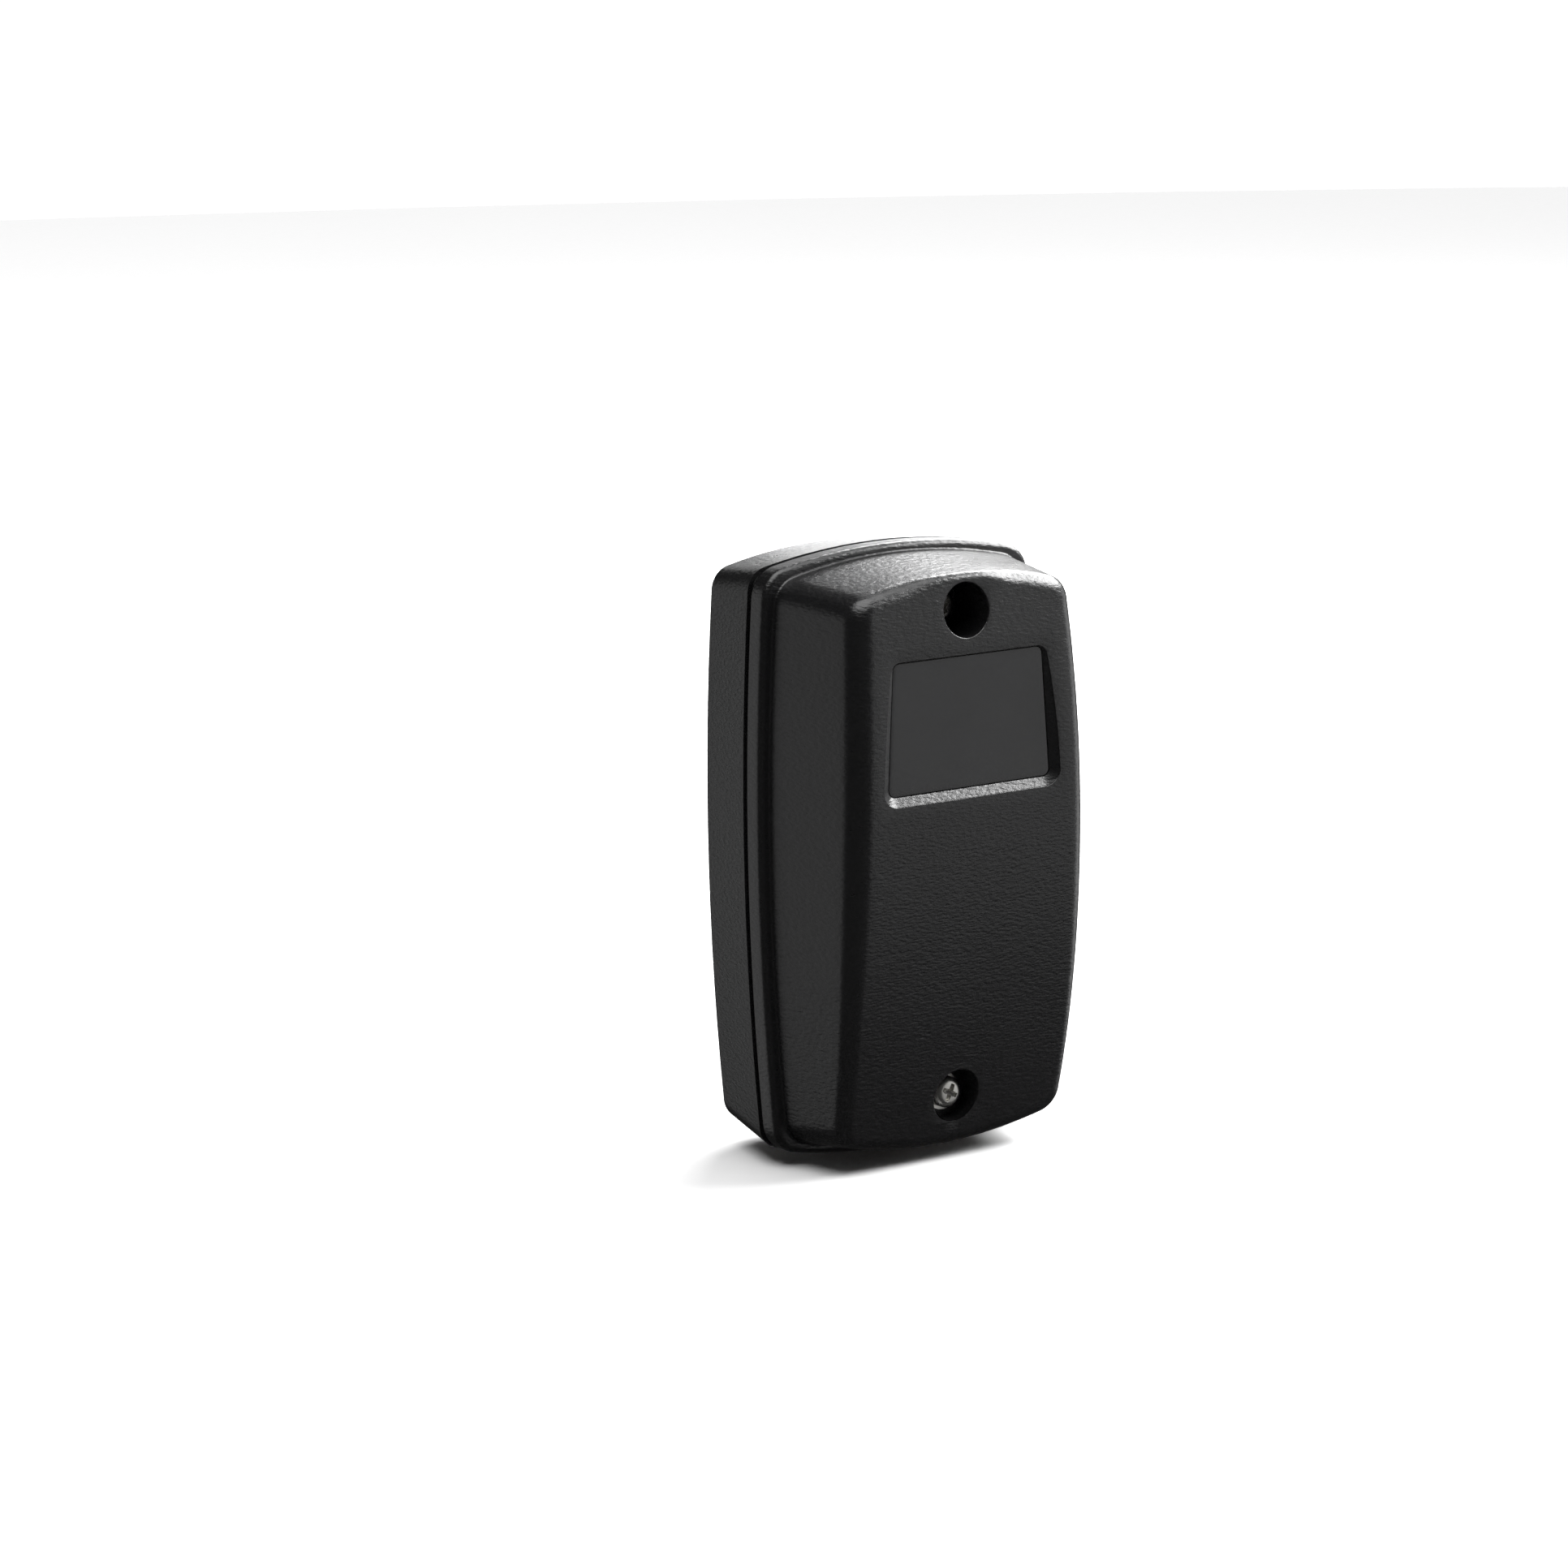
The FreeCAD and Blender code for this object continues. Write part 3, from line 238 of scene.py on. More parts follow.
def ring(radius, x, z, count=72):
    """A circle in the front plane, (x + r cos a, z + r sin a), and its outward normals."""
    angle = np.linspace(0.0, TURN, count, endpoint=False)
    facing = np.stack([np.cos(angle), np.sin(angle)], axis=1)
    return np.array([x, z]) + radius * facing, facing


def quads(rows, columns, closed=True):
    """Vertex numbers of the faces of a grid whose rows may close on themselves."""
    number = np.arange(rows * columns).reshape(rows, columns)
    near, far = number[:-1], number[1:]
    if closed:
        return np.stack([near, np.roll(near, -1, 1), np.roll(far, -1, 1), far], axis=-1).reshape(-1, 4)
    return np.stack([near[:, :-1], near[:, 1:], far[:, 1:], far[:, :-1]], axis=-1).reshape(-1, 4)


def lathe(profile, x, z, count=96):
    """A turned surface: (depth, radius) points carried round the front-to-back line through (x, z), so each
    gives (x + radius cos a, -depth, z + radius sin a)."""
    profile = np.array(profile)
    angle = np.linspace(0.0, TURN, count, endpoint=False)
    grid = np.empty((len(profile), count, 3))
    grid[..., 0] = x + profile[:, 1, None] * np.cos(angle)
    grid[..., 1] = -profile[:, 0, None]
    grid[..., 2] = z + profile[:, 1, None] * np.sin(angle)
    return grid.reshape(-1, 3), quads(len(profile), count)


def surface(name, parts, body, slot, replaces, sharp):
    """Join (points in mm, faces) pairs into one object at the origin and weld them. It is shaded smooth but for
    edges past the angle sharp, and gets its slot's finish and its body."""
    points, counts, corners, base = [], [], [], 0
    for co, faces in parts:
        points.append(co)
        counts.append(np.full(len(faces), faces.shape[1]))
        corners.append((faces + base).ravel())
        base += len(co)
    points, counts, corners = np.concatenate(points) * MM, np.concatenate(counts), np.concatenate(corners)
    mesh = bpy.data.meshes.new(name)
    mesh.vertices.add(len(points))
    mesh.vertices.foreach_set("co", points.ravel())
    mesh.loops.add(len(corners))
    mesh.loops.foreach_set("vertex_index", corners.astype(np.int32))
    mesh.polygons.add(len(counts))
    mesh.polygons.foreach_set("loop_start", np.concatenate([[0], np.cumsum(counts)[:-1]]).astype(np.int32))
    mesh.update(calc_edges=True)
    mesh.validate()
    made = bpy.data.objects.new(name, mesh)
    bpy.context.scene.collection.objects.link(made)
    weld(mesh)
    mesh.shade_smooth()
    mesh.set_sharp_from_angle(angle=math.radians(sharp))
    mesh.materials.append(finish_of(slot))
    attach(made, body)
    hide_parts(*replaces)


def weld(mesh, distance=0.004 * MM):
    """Merge vertices that lie on each other."""
    work = bmesh.new()
    work.from_mesh(mesh)
    bmesh.ops.remove_doubles(work, verts=work.verts, dist=distance)
    bmesh.ops.dissolve_degenerate(work, edges=work.edges, dist=distance * 0.1)
    work.to_mesh(mesh)
    work.free()


def node_arrays(node):
    """The points, in mm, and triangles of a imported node."""
    mesh = frame["nodes"][node].data
    points = np.empty(len(mesh.vertices) * 3)
    mesh.vertices.foreach_get("co", points)
    mesh.calc_loop_triangles()
    faces = np.empty(len(mesh.loop_triangles) * 3, np.int32)
    mesh.loop_triangles.foreach_get("vertices", faces)
    return points.reshape(-1, 3) / MM, faces.reshape(-1, 3)


# -------------------- the cover's form

class CoverForm:
    """The cover's outer form: a block that tapers from rim to face, cut by a cylinder lying along X."""

    def __init__(self, case):
        mm = in_mm(case)
        self.mm = mm
        foot = (mm["half_width"] - mm["shoulder"], mm["half_height"] - mm["shoulder"])
        crown = (foot[0] - mm["side_taper"], foot[1] - mm["end_taper"])
        bows = (mm["side_bow"], mm["end_bow"])
        self.foot, self.facing = outline(*foot, *bows, mm["block_corner"])
        self.draw_in = (outline(*crown, *bows, mm["block_corner"])[0] - self.foot) / mm["block_rise"]
        self.rim, self.rim_facing = outline(mm["half_width"], mm["half_height"], *bows, mm["rim_corner"])

    def face_at(self, z):
        """Depth of the face at height z: its foremost depth less the cylinder's fall."""
        radius = self.mm["face_radius"]
        rise = z - self.mm["face_apex"]
        return self.mm["face_depth"] - (radius - np.sqrt(radius * radius - rise * rise))

    def wall_at(self, depth):
        """The block's outline at a depth, which may differ from point to point."""
        return self.foot + self.draw_in * (np.asarray(depth)[..., None] - self.mm["rim_back"])

    def rounding(self, edge):
        """Radius between face and wall along the edge: the sides' grows upwards from the foot, the top's is
        least beside the well, and the two are mixed by the square of how far the edge faces up or down."""
        mm = self.mm
        grows_from, grows_over = -42.0, 46.0    # height where the sides' radius starts to grow, and its span
        well_half, well_span = 4.0, 8.0         # half the stretch beside the well, and the span past it
        grown = smooth_step((edge[:, 1] - grows_from) / grows_over)
        side = mm["foot_round"] + (mm["side_round"] - mm["foot_round"]) * grown
        beside = smooth_step((np.abs(edge[:, 0]) - well_half) / well_span)
        top = mm["well_round"] + (mm["end_round"] - mm["well_round"]) * beside
        end = np.where(edge[:, 1] > 0.0, top, mm["end_round"])
        upright = self.facing[:, 1] ** 2
        return side * (1.0 - upright) + end * upright

    def skin(self):
        """Rows of loops from the rim's back edge to the face's edge, as an array of (row, point, x y z).

        The rim's front edge is a quarter circle, a cove leads up into the wall, and the wall meets the face
        in an arc tangent to both: with a and b the unit vectors along wall and face from their sharp edge
        and t the angle between them, its centre lies (radius / sin(t / 2)) along their bisector."""
        mm = self.mm
        back, front = mm["rim_back"], mm["rim_back"] + mm["rim_thick"]
        tuck, bevel = 0.4, 0.12                 # how far the skin turns in behind the rim, and its back edge
        rows = []

        def level(points, depth):
            depth = np.broadcast_to(depth, len(points))
            rows.append(np.column_stack([points[:, 0], -depth, points[:, 1]]))

        level(self.rim - self.rim_facing * tuck, back + HIDDEN)
        level(self.rim - self.rim_facing * bevel, back)
        level(self.rim, back + bevel)
        for share in (0.35, 0.7):
            level(self.rim, back + (front - mm["rim_round"] - back) * share)
        for angle in np.linspace(0.0, QUARTER, 8):
            inset = mm["rim_round"] * (1.0 - math.cos(angle))
            level(self.rim - self.rim_facing * inset, front - mm["rim_round"] * (1.0 - math.sin(angle)))
        cove = mm["cove"]
        top_of_cove = self.wall_at(np.full(len(self.foot), front + cove))
        for angle in np.linspace(0.0, QUARTER, 6):
            outset = cove * (1.0 - math.sin(angle))
            level(top_of_cove + self.facing * outset, front + cove * (1.0 - math.cos(angle)))

        # where the wall and the face meet depends on both, so it is settled in a few rounds
        depth = np.full(len(self.foot), mm["face_depth"])
        for _ in range(12):
            depth = self.face_at(self.wall_at(depth)[:, 1])
        edge = self.wall_at(depth)
        slope = -np.einsum("ij,ij->i", self.draw_in, self.facing)
        slide = self.draw_in + self.facing * slope[:, None]
        rise = edge[:, 1] - mm["face_apex"]
        fall = rise / np.sqrt(mm["face_radius"] ** 2 - rise * rise) * self.facing[:, 1]
        wall = np.stack([-slope, -np.ones_like(slope)], axis=1)
        face = np.stack([np.ones_like(fall), fall], axis=1)
        wall /= np.linalg.norm(wall, axis=1)[:, None]
        face /= np.linalg.norm(face, axis=1)[:, None]
        angle = np.arccos(np.einsum("ij,ij->i", wall, face))
        radius = self.rounding(edge)
        reach = radius / np.tan(angle / 2.0)
        bisector = (wall + face) / np.linalg.norm(wall + face, axis=1)[:, None]
        centre = bisector * (radius / np.sin(angle / 2.0))[:, None]
        start, stop = wall * reach[:, None] - centre, face * reach[:, None] - centre
        sweep = math.pi - angle
        tangent_depth = depth + wall[:, 1] * reach
        for share in np.linspace(0.0, 1.0, 13)[1:-1]:
            here = front + cove + (tangent_depth - front - cove) * share
            level(self.wall_at(here), here)
        for share in np.linspace(0.0, 1.0, 15):
            arc = centre + (start * np.sin((1.0 - share) * sweep)[:, None]
                            + stop * np.sin(share * sweep)[:, None]) / np.sin(sweep)[:, None]
            level(edge + slide * arc[:, 1:] - self.facing * arc[:, :1], depth + arc[:, 1])
        return np.array(rows)


def inside(points, loop):
    """Whether points lie inside a closed loop: a line from each towards +X crosses the loop an odd number
    of times."""
    start, stop = loop, np.roll(loop, -1, axis=0)
    x, z = points[:, :1], points[:, 1:]
    crossing = (start[:, 1] > z) != (stop[:, 1] > z)
    rise = np.where(stop[:, 1] == start[:, 1], 1.0, stop[:, 1] - start[:, 1])
    meets = start[:, 0] + (stop[:, 0] - start[:, 0]) * (z - start[:, 1]) / rise
    return (crossing & (x < meets)).sum(axis=1) % 2 == 1


def face_sheet(form, rim_loop, holes, spacing=2.0, rim_share=0.965, hole_share=1.12):
    """The domed face between its edge and its openings.

    Points on a square grid and on every loop are joined by a constrained Delaunay triangulation in the
    front plane, triangles inside an opening are left out, and each point is lifted to the face's depth.
    The grid's points lie inside rim_share of the edge and outside hole_share of the openings."""
    lo, hi = rim_loop.min(axis=0), rim_loop.max(axis=0)
    across, upward = np.arange(lo[0], hi[0], spacing), np.arange(lo[1], hi[1], spacing)
    grid = np.stack(np.meshgrid(across, upward), -1).reshape(-1, 2)
    keep = inside(grid, rim_loop * rim_share)
    for hole in holes:
        middle = hole.mean(axis=0)
        keep &= ~inside(grid, middle + (hole - middle) * hole_share)
    loops = [rim_loop, *holes]
    points = np.concatenate([*loops, grid[keep]])
    edges, base = [], 0
    for loop in loops:
        number = np.arange(len(loop)) + base
        edges.append(np.stack([number, np.roll(number, -1)], axis=1))
        base += len(loop)
    flat, _, faces, *_ = delaunay_2d_cdt([Vector(p) for p in points.tolist()],
                                         np.concatenate(edges).tolist(), [], 0, 1e-6)
    flat, faces = np.array([tuple(p) for p in flat]), np.array(faces)
    centre = flat[faces].mean(axis=1)
    keep = inside(centre, rim_loop)
    for hole in holes:
        keep &= ~inside(centre, hole)
    faces = faces[keep]
    one, two = flat[faces[:, 1]] - flat[faces[:, 0]], flat[faces[:, 2]] - flat[faces[:, 0]]
    area = one[:, 0] * two[:, 1] - one[:, 1] * two[:, 0]
    faces = np.where(area[:, None] > 0, faces, faces[:, ::-1])
    return np.column_stack([flat[:, 0], -form.face_at(flat[:, 1]), flat[:, 1]]), faces


def mouth(form, loop, facing, edge, rows):
    """Rows from the face down into an opening: the face's edge rolls over by a quarter circle of radius
    edge, then each further row is (how far out from loop, depth). Also returns the first row's outline."""
    levels = []
    start = form.face_at((loop + facing * edge)[:, 1])
    for angle in np.linspace(0.0, QUARTER, 6):
        outwards, drop = edge * (1.0 - math.sin(angle)), edge * (1.0 - math.cos(angle))
        levels.append((loop + facing * outwards, start - drop))
    for out, depth in rows:
        out = np.broadcast_to(out, len(loop))
        levels.append((loop + facing * out[:, None], np.broadcast_to(depth, len(loop))))
    grid = np.array([np.column_stack([p[:, 0], -d, p[:, 1]]) for p, d in levels])
    return grid.reshape(-1, 3), quads(len(grid), len(loop)), levels[0][0]


def cover_inside(form, mm):
    """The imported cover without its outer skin, which is everything less than about 1.3 mm under it.

    A triangle belongs to the skin if its middle lies near the rim, the wall or the face, or on the wall of a
    well, or in the window's recess. The distance to a wall is the least over its outline's points of
    (outline point - middle) . outward normal."""
    points, faces = node_arrays("front_cover")
    middle = points[faces].mean(axis=1)
    flat, depth = middle[:, [0, 2]], -middle[:, 1]
    near, touch = 1.35, 0.05                    # under the skin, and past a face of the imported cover
    step, on_wall, on_floor = 0.6, 0.15, 1.55   # behind the rim's front, beside a well, under the window
    recess_half, recess_low, recess_high = 20.0, 11.0, 40.0
    back, front = form.mm["rim_back"], form.mm["rim_back"] + form.mm["rim_thick"]
    some = slice(None, None, 4)
    facing, rim_facing = form.facing[some], form.rim_facing[some]
    reach = np.einsum("ij,ij->i", form.foot[some], facing)
    taper = np.einsum("ij,ij->i", form.draw_in[some], facing)
    to_wall = (reach + taper * (depth[:, None] - back) - flat @ facing.T).min(axis=1)
    to_rim = (np.einsum("ij,ij->i", form.rim[some], rim_facing) - flat @ rim_facing.T).min(axis=1)
    behind = depth < back + touch
    skin = (depth < front + touch) & (to_rim < near) | (depth > front - step) & (to_wall < near)
    skin |= form.face_at(flat[:, 1]) - depth < near
    for height in (mm["top_screw"], -mm["bottom_screw"]):
        off_wall = np.abs(np.hypot(flat[:, 0], flat[:, 1] - height) - mm["well_radius"])
        skin |= (off_wall < on_wall) & (depth > mm["seat_depth"] + touch)
    recess = (np.abs(flat[:, 0]) < recess_half) & (flat[:, 1] > recess_low) & (flat[:, 1] < recess_high)
    skin |= recess & (depth > mm["window_front"] - on_floor)
    return points, faces[behind | ~skin]


# -------------------- finishes

def hex_colour(text):
    """Linear red, green and blue of an sRGB hex colour: ((c + 0.055) / 1.055)^2.4, or c / 12.92 when dark."""
    coded = np.array([int(text[i:i + 2], 16) for i in (1, 3, 5)]) / 255.0
    linear = np.where(coded <= 0.04045, coded / 12.92, ((coded + 0.055) / 1.055) ** 2.4)
    return (*linear.tolist(), 1.0)


def add(tree, kind, inputs=None, **settings):
    """Add a shader node with its settings; an input is given as a value or as the socket that feeds it."""
    made = tree.nodes.new(kind)
    for key, value in settings.items():
        setattr(made, key, value)
    for name, value in (inputs or {}).items():
        socket = made.inputs[name]
        if isinstance(value, bpy.types.NodeSocket):
            tree.links.new(value, socket)
        else:
            socket.default_value = value
    return made


def blank(name):
    """A new material with an empty tree, and its object coordinates."""
    material = bpy.data.materials.new(name)
    material.use_nodes = True
    tree = material.node_tree
    tree.nodes.clear()
    return material, tree, add(tree, "ShaderNodeTexCoord").outputs["Object"]


def finished(material, colour, gloss, relief, fixed):
    """Join a material's patterns to its shader and return it.

    colour is (pattern, dark, light) with sRGB hex colours, gloss is (pattern, least, greatest roughness),
    relief is (pattern, height in mm), and fixed holds the sockets that are the same all over."""
    tree = material.node_tree
    tint = add(tree, "ShaderNodeMix", {0: colour[0], 6: hex_colour(colour[1]), 7: hex_colour(colour[2])},
               data_type="RGBA")
    rough = add(tree, "ShaderNodeMapRange", {"Value": gloss[0], "To Min": gloss[1], "To Max": gloss[2]})
    bump = add(tree, "ShaderNodeBump", {"Height": relief[0], "Strength": 1.0, "Distance": relief[1] * MM})
    shader = add(tree, "ShaderNodeBsdfPrincipled", {
        "Base Color": tint.outputs[2], "Roughness": rough.outputs["Result"],
        "Normal": bump.outputs["Normal"], **fixed})
    add(tree, "ShaderNodeOutputMaterial", {"Surface": shader.outputs["BSDF"]})
    return material


def moulded(name, dark, light, roughness, grain=0.5, relief=0.01, ior=1.54, spread=0.06):
    """A moulded plastic: a fine grain in its relief and gloss, and a slow drift of its colour over 9 mm.

    grain is the grain's width and relief its height, both in mm; spread is how far the roughness strays."""
    material, tree, place = blank(name)
    fine = add(tree, "ShaderNodeTexNoise",
               {"Vector": place, "Scale": PER_MM / grain, "Detail": 2.0}).outputs["Fac"]
    slow = add(tree, "ShaderNodeTexNoise",
               {"Vector": place, "Scale": PER_MM / 9.0, "Detail": 3.0}).outputs["Fac"]
    return finished(material, (slow, dark, light), (fine, roughness - spread, roughness + spread),
                    (fine, relief), {"IOR": ior})


def case_plastic(colour):
    """Black ABS moulded in a spark-eroded tool: a satin skin whose grain lies crosswise, about 1.1 mm long
    and 0.4 mm tall, over a finer pitting of 0.2 mm that catches single glints."""
    material, tree, place = blank("case_plastic_abs_spark_grain")
    crosswise = add(tree, "ShaderNodeMapping",
                    {"Vector": place, "Scale": (PER_MM / 1.1, PER_MM / 1.1, PER_MM / 0.42)}).outputs["Vector"]
    grain = add(tree, "ShaderNodeTexNoise",
                {"Vector": crosswise, "Scale": 1.0, "Detail": 1.5, "Roughness": 0.45}).outputs["Fac"]
    pits = add(tree, "ShaderNodeTexNoise",
               {"Vector": place, "Scale": PER_MM / 0.2, "Detail": 1.0}).outputs["Fac"]
    both = add(tree, "ShaderNodeMath", {0: pits, 1: 0.25, 2: grain}, operation="MULTIPLY_ADD").outputs[0]
    drift = add(tree, "ShaderNodeTexNoise",
                {"Vector": place, "Scale": PER_MM / 14.0, "Detail": 2.0}).outputs["Fac"]
    return finished(material, (drift, colour, "#101011"), (grain, 0.24, 0.38), (both, 0.09), {"IOR": 1.54})


def metal(name, dark, light, roughness, marks=0.35, relief=0.004, spread=0.08):
    """A plated or turned metal: blotchy plating in its colour and gloss over tool marks that are a third as
    wide from front to back as across. marks and relief are their width and height in mm."""
    material, tree, place = blank(name)
    blotch = add(tree, "ShaderNodeTexNoise",
                 {"Vector": place, "Scale": PER_MM / 0.9, "Detail": 4.0}).outputs["Fac"]
    fine = PER_MM / marks
    lay = add(tree, "ShaderNodeMapping", {"Vector": place, "Scale": (fine, fine * 3, fine)}).outputs["Vector"]
    lines = add(tree, "ShaderNodeTexNoise", {"Vector": lay, "Scale": 1.0, "Detail": 2.0}).outputs["Fac"]
    return finished(material, (blotch, dark, light), (blotch, roughness - spread, roughness + spread),
                    (lines, relief), {"Metallic": 1.0})


def board_laminate(colour):
    """Glass-epoxy board under green solder mask: copper tracks 0.85 mm apart show through it, raised and
    lighter, and the bare weave of 0.5 mm shows faintly between them."""
    material, tree, place = blank("board_laminate_solder_mask")
    front = add(tree, "ShaderNodeMapping",
                {"Vector": place, "Rotation": (QUARTER, 0.0, 0.0)}).outputs["Vector"]
    tracks = add(tree, "ShaderNodeTexBrick", {
        "Vector": front, "Scale": 1.0, "Color1": (1.0, 1.0, 1.0, 1.0), "Color2": (0.7, 0.7, 0.7, 1.0),
        "Mortar": (0.0, 0.0, 0.0, 1.0), "Mortar Size": 0.16 * MM, "Brick Width": 5.4 * MM,
        "Row Height": 0.85 * MM}, offset=0.37, squash=0.6, squash_frequency=3).outputs["Color"]
    weave = add(tree, "ShaderNodeTexChecker", {"Vector": place, "Scale": PER_MM / 0.5}).outputs["Fac"]
    height = add(tree, "ShaderNodeMath", {0: weave, 1: 0.12, 2: tracks}, operation="MULTIPLY_ADD").outputs[0]
    return finished(material, (height, "#0f3a20", colour), (weave, 0.22, 0.3), (height, 0.03), {"IOR": 1.5})


def lens_acrylic():
    """Polished acrylic: clear, with faint flow lines from its gate in its gloss."""
    material, tree, place = blank("lens_acrylic_polished")
    flow = add(tree, "ShaderNodeTexNoise", {"Vector": place, "Scale": PER_MM / 6.0}).outputs["Fac"]
    gloss = add(tree, "ShaderNodeMapRange", {"Value": flow, "To Min": 0.02, "To Max": 0.06})
    shader = add(tree, "ShaderNodeBsdfPrincipled", {
        "Base Color": hex_colour("#f2f7f7"), "Roughness": gloss.outputs["Result"],
        "Transmission Weight": 1.0, "IOR": 1.49})
    add(tree, "ShaderNodeOutputMaterial", {"Surface": shader.outputs["BSDF"]})
    return material


def resistor_lacquer():
    """Tan lacquer over a ceramic rod, with brown bands round it every 1.5 mm of its length along Z."""
    material, tree, place = blank("resistor_lacquer_banded")
    band, node_phase = 1.5, 20.0                # mm, and the wave's radians in one unit of its own scale
    bands = add(tree, "ShaderNodeTexWave", {"Vector": place, "Scale": PER_MM / (node_phase * band) * TURN},
                bands_direction="Z").outputs["Fac"]
    fine = add(tree, "ShaderNodeTexNoise",
               {"Vector": place, "Scale": PER_MM / 0.4, "Detail": 2.0}).outputs["Fac"]
    narrow = add(tree, "ShaderNodeMapRange", {"Value": bands, "From Min": 0.8, "From Max": 0.86})
    return finished(material, (narrow.outputs["Result"], "#c9ac7c", "#5a2d14"), (fine, 0.25, 0.4),
                    (fine, 0.01), {"IOR": 1.52})


def make_finishes(colours):
    """One finish for each of the record's material slots."""
    return {
        "case_plastic": case_plastic(colours.case),
        # infrared-pass polycarbonate, polished in the tool, with a very slight sink in its face
        "filter_plastic": moulded("filter_plastic_infrared_polycarbonate", colours.window, "#131314", 0.25,
                                  5.0, 0.03, 1.585, 0.03),
        # EPDM rubber, matt and slightly dusty
        "seal_rubber": moulded("seal_rubber_epdm", "#070707", "#0c0c0c", 0.72, 0.3, 0.012, 1.52),
        # zinc-plated steel, blotchy under its passivation
        "screw_steel": metal("screw_steel_zinc_plated", "#c9c8c3", "#f0efea", 0.34),
        # free-cutting brass as it leaves the lathe
        "brass": metal("brass_turned", "#b08d4a", "#d9bb74", 0.24),
        "board_laminate": board_laminate(colours.board),
        # glass-filled nylon, slightly fibrous
        "holder_plastic": moulded("holder_plastic_glass_nylon", "#0e0e0f", "#151516", 0.48, 0.35, 0.012,
                                  1.53),
        "lens_acrylic": lens_acrylic(),
        # cast epoxy with a daylight-blocking dye
        "photodiode_resin": moulded("photodiode_resin_dyed_epoxy", "#0b070d", "#150d18", 0.12, 2.0, 0.006,
                                    1.55, 0.03),
        # glossy PBT relay case
        "relay_case": moulded("relay_case_pbt", "#154083", "#174587", 0.3, 1.5, 0.004, 1.56, 0.03),
        # shrunk PVC sleeve
        "capacitor_sleeve": moulded("capacitor_sleeve_pvc", "#0d1026", "#14183a", 0.3, 1.2, 0.02, 1.54),
        "resistor_lacquer": resistor_lacquer(),
        # diffused red epoxy
        "led_red": moulded("led_red_diffused_epoxy", "#8c0f0c", "#b01713", 0.16, 1.0, 0.004, 1.55, 0.03),
        # glass-filled polyamide terminal body
        "terminal_plastic": moulded("terminal_plastic_polyamide", "#256f3d", colours.terminals, 0.42, 0.4,
                                    0.012, 1.53),
        # tin-plated copper alloy, soft grey shine
        "plated_contact": metal("plated_contact_tin", "#a9a9a6", "#d4d4d1", 0.33, 0.25),
        # glass-filled polyester, slightly glossy
        "trimmer_plastic": moulded("trimmer_plastic_polyester", "#1a4e9c", "#2160b4", 0.3, 0.5, 0.006, 1.55),
        # acetal, waxy and even
        "white_plastic": moulded("white_plastic_acetal", "#dcdad3", "#efede7", 0.38, 0.5, 0.008, 1.48),
    }


# -------------------- pieces

def finish_of(slot):
    """The finish for a slot, from the set that the finishes operator made."""
    return bpy.data.materials[bpy.context.scene["photocell_finishes"][slot]]


class PHOTOCELL_OT_finishes(bpy.types.Operator):
    """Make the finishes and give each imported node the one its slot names"""
    bl_idname = "photocell.finishes"
    bl_label = "Finishes"

    def execute(self, context):
        made = make_finishes(context.scene.photocell_colours)
        context.scene["photocell_finishes"] = {slot: material.name for slot, material in made.items()}
        for entry in frame["record"]["subparts"]:
            data = frame["nodes"][entry["node"]].data
            data.materials.clear()
            data.materials.append(made[entry["material_slot"]])
        return {"FINISHED"}


class PHOTOCELL_OT_cover(bpy.types.Operator):
    """Build the front cover's skin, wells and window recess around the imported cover's inside"""
    bl_idname = "photocell.cover"
    bl_label = "Front cover"

    def execute(self, context):
        mm = in_mm(context.scene.photocell_details)
        form = CoverForm(context.scene.photocell_case)
        skin = form.skin()
        rows, columns, _ = skin.shape
        openings, holes = [], []
        for height, halfway in ((mm["top_screw"], 40.0), (-mm["bottom_screw"], 36.0)):
            loop, facing = ring(mm["well_radius"], 0.0, height)
            points, faces, hole = mouth(form, loop, facing, mm["well_edge"],
                                        [(0.0, halfway), (0.0, mm["seat_depth"] - HIDDEN)])
            openings.append((points, faces))
            holes.append(hole)
        points, faces, hole = self.recess(form, mm)
        openings.append((points, faces))
        holes.append(hole)
        sheet = face_sheet(form, skin[-1][:, [0, 2]], holes)
        surface("cover_shell", [(skin.reshape(-1, 3), quads(rows, columns)), sheet, *openings,
                                cover_inside(form, mm)],
                "cover", "case_plastic", ["front_cover"], sharp=40.0)
        return {"FINISHED"}

    def recess(self, form, mm):
        """The window's recess: for each mm of depth its walls spread 1.62 mm outwards, which is 58 degrees,
        but only 0.37 mm, which is 20, at the top edge, up to a lip that rolls into the face."""
        side_slope, top_less, lip = 1.62, 1.25, 0.16
        ledge, behind_plate = 0.1, 0.3          # beside the window's edge, and past the plate's back, in mm
        floor = mm["window_front"]
        loop, facing = window_outline(mm)
        slope = side_slope - top_less * np.clip(facing[:, 1], 0.0, 1.0)
        out = np.zeros(len(loop))
        for _ in range(6):                      # the lip's place depends on its own depth
            out = slope * (form.face_at((loop + facing * out[:, None])[:, 1]) - lip - floor)
        shifted = loop + facing * out[:, None]
        top = form.face_at(shifted[:, 1]) - lip
        return mouth(form, shifted, facing, lip, [
            (-out * 0.5, (top + floor) / 2), (-out * 0.94, floor + 0.05), (-out + ledge, floor),
            (-out + ledge, floor - mm["filter_thick"] - behind_plate)])


class PHOTOCELL_OT_box(bpy.types.Operator):
    """Give the rear box a welded, smoothly shaded surface"""
    bl_idname = "photocell.box"
    bl_label = "Rear box"

    def execute(self, context):
        surface("box_shell", [node_arrays("rear_box")], ROOT_BODY, "case_plastic", ["rear_box"], sharp=32.0)
        surface("joint_gasket", [node_arrays("cover_gasket")], ROOT_BODY, "seal_rubber", ["cover_gasket"],
                sharp=32.0)
        return {"FINISHED"}


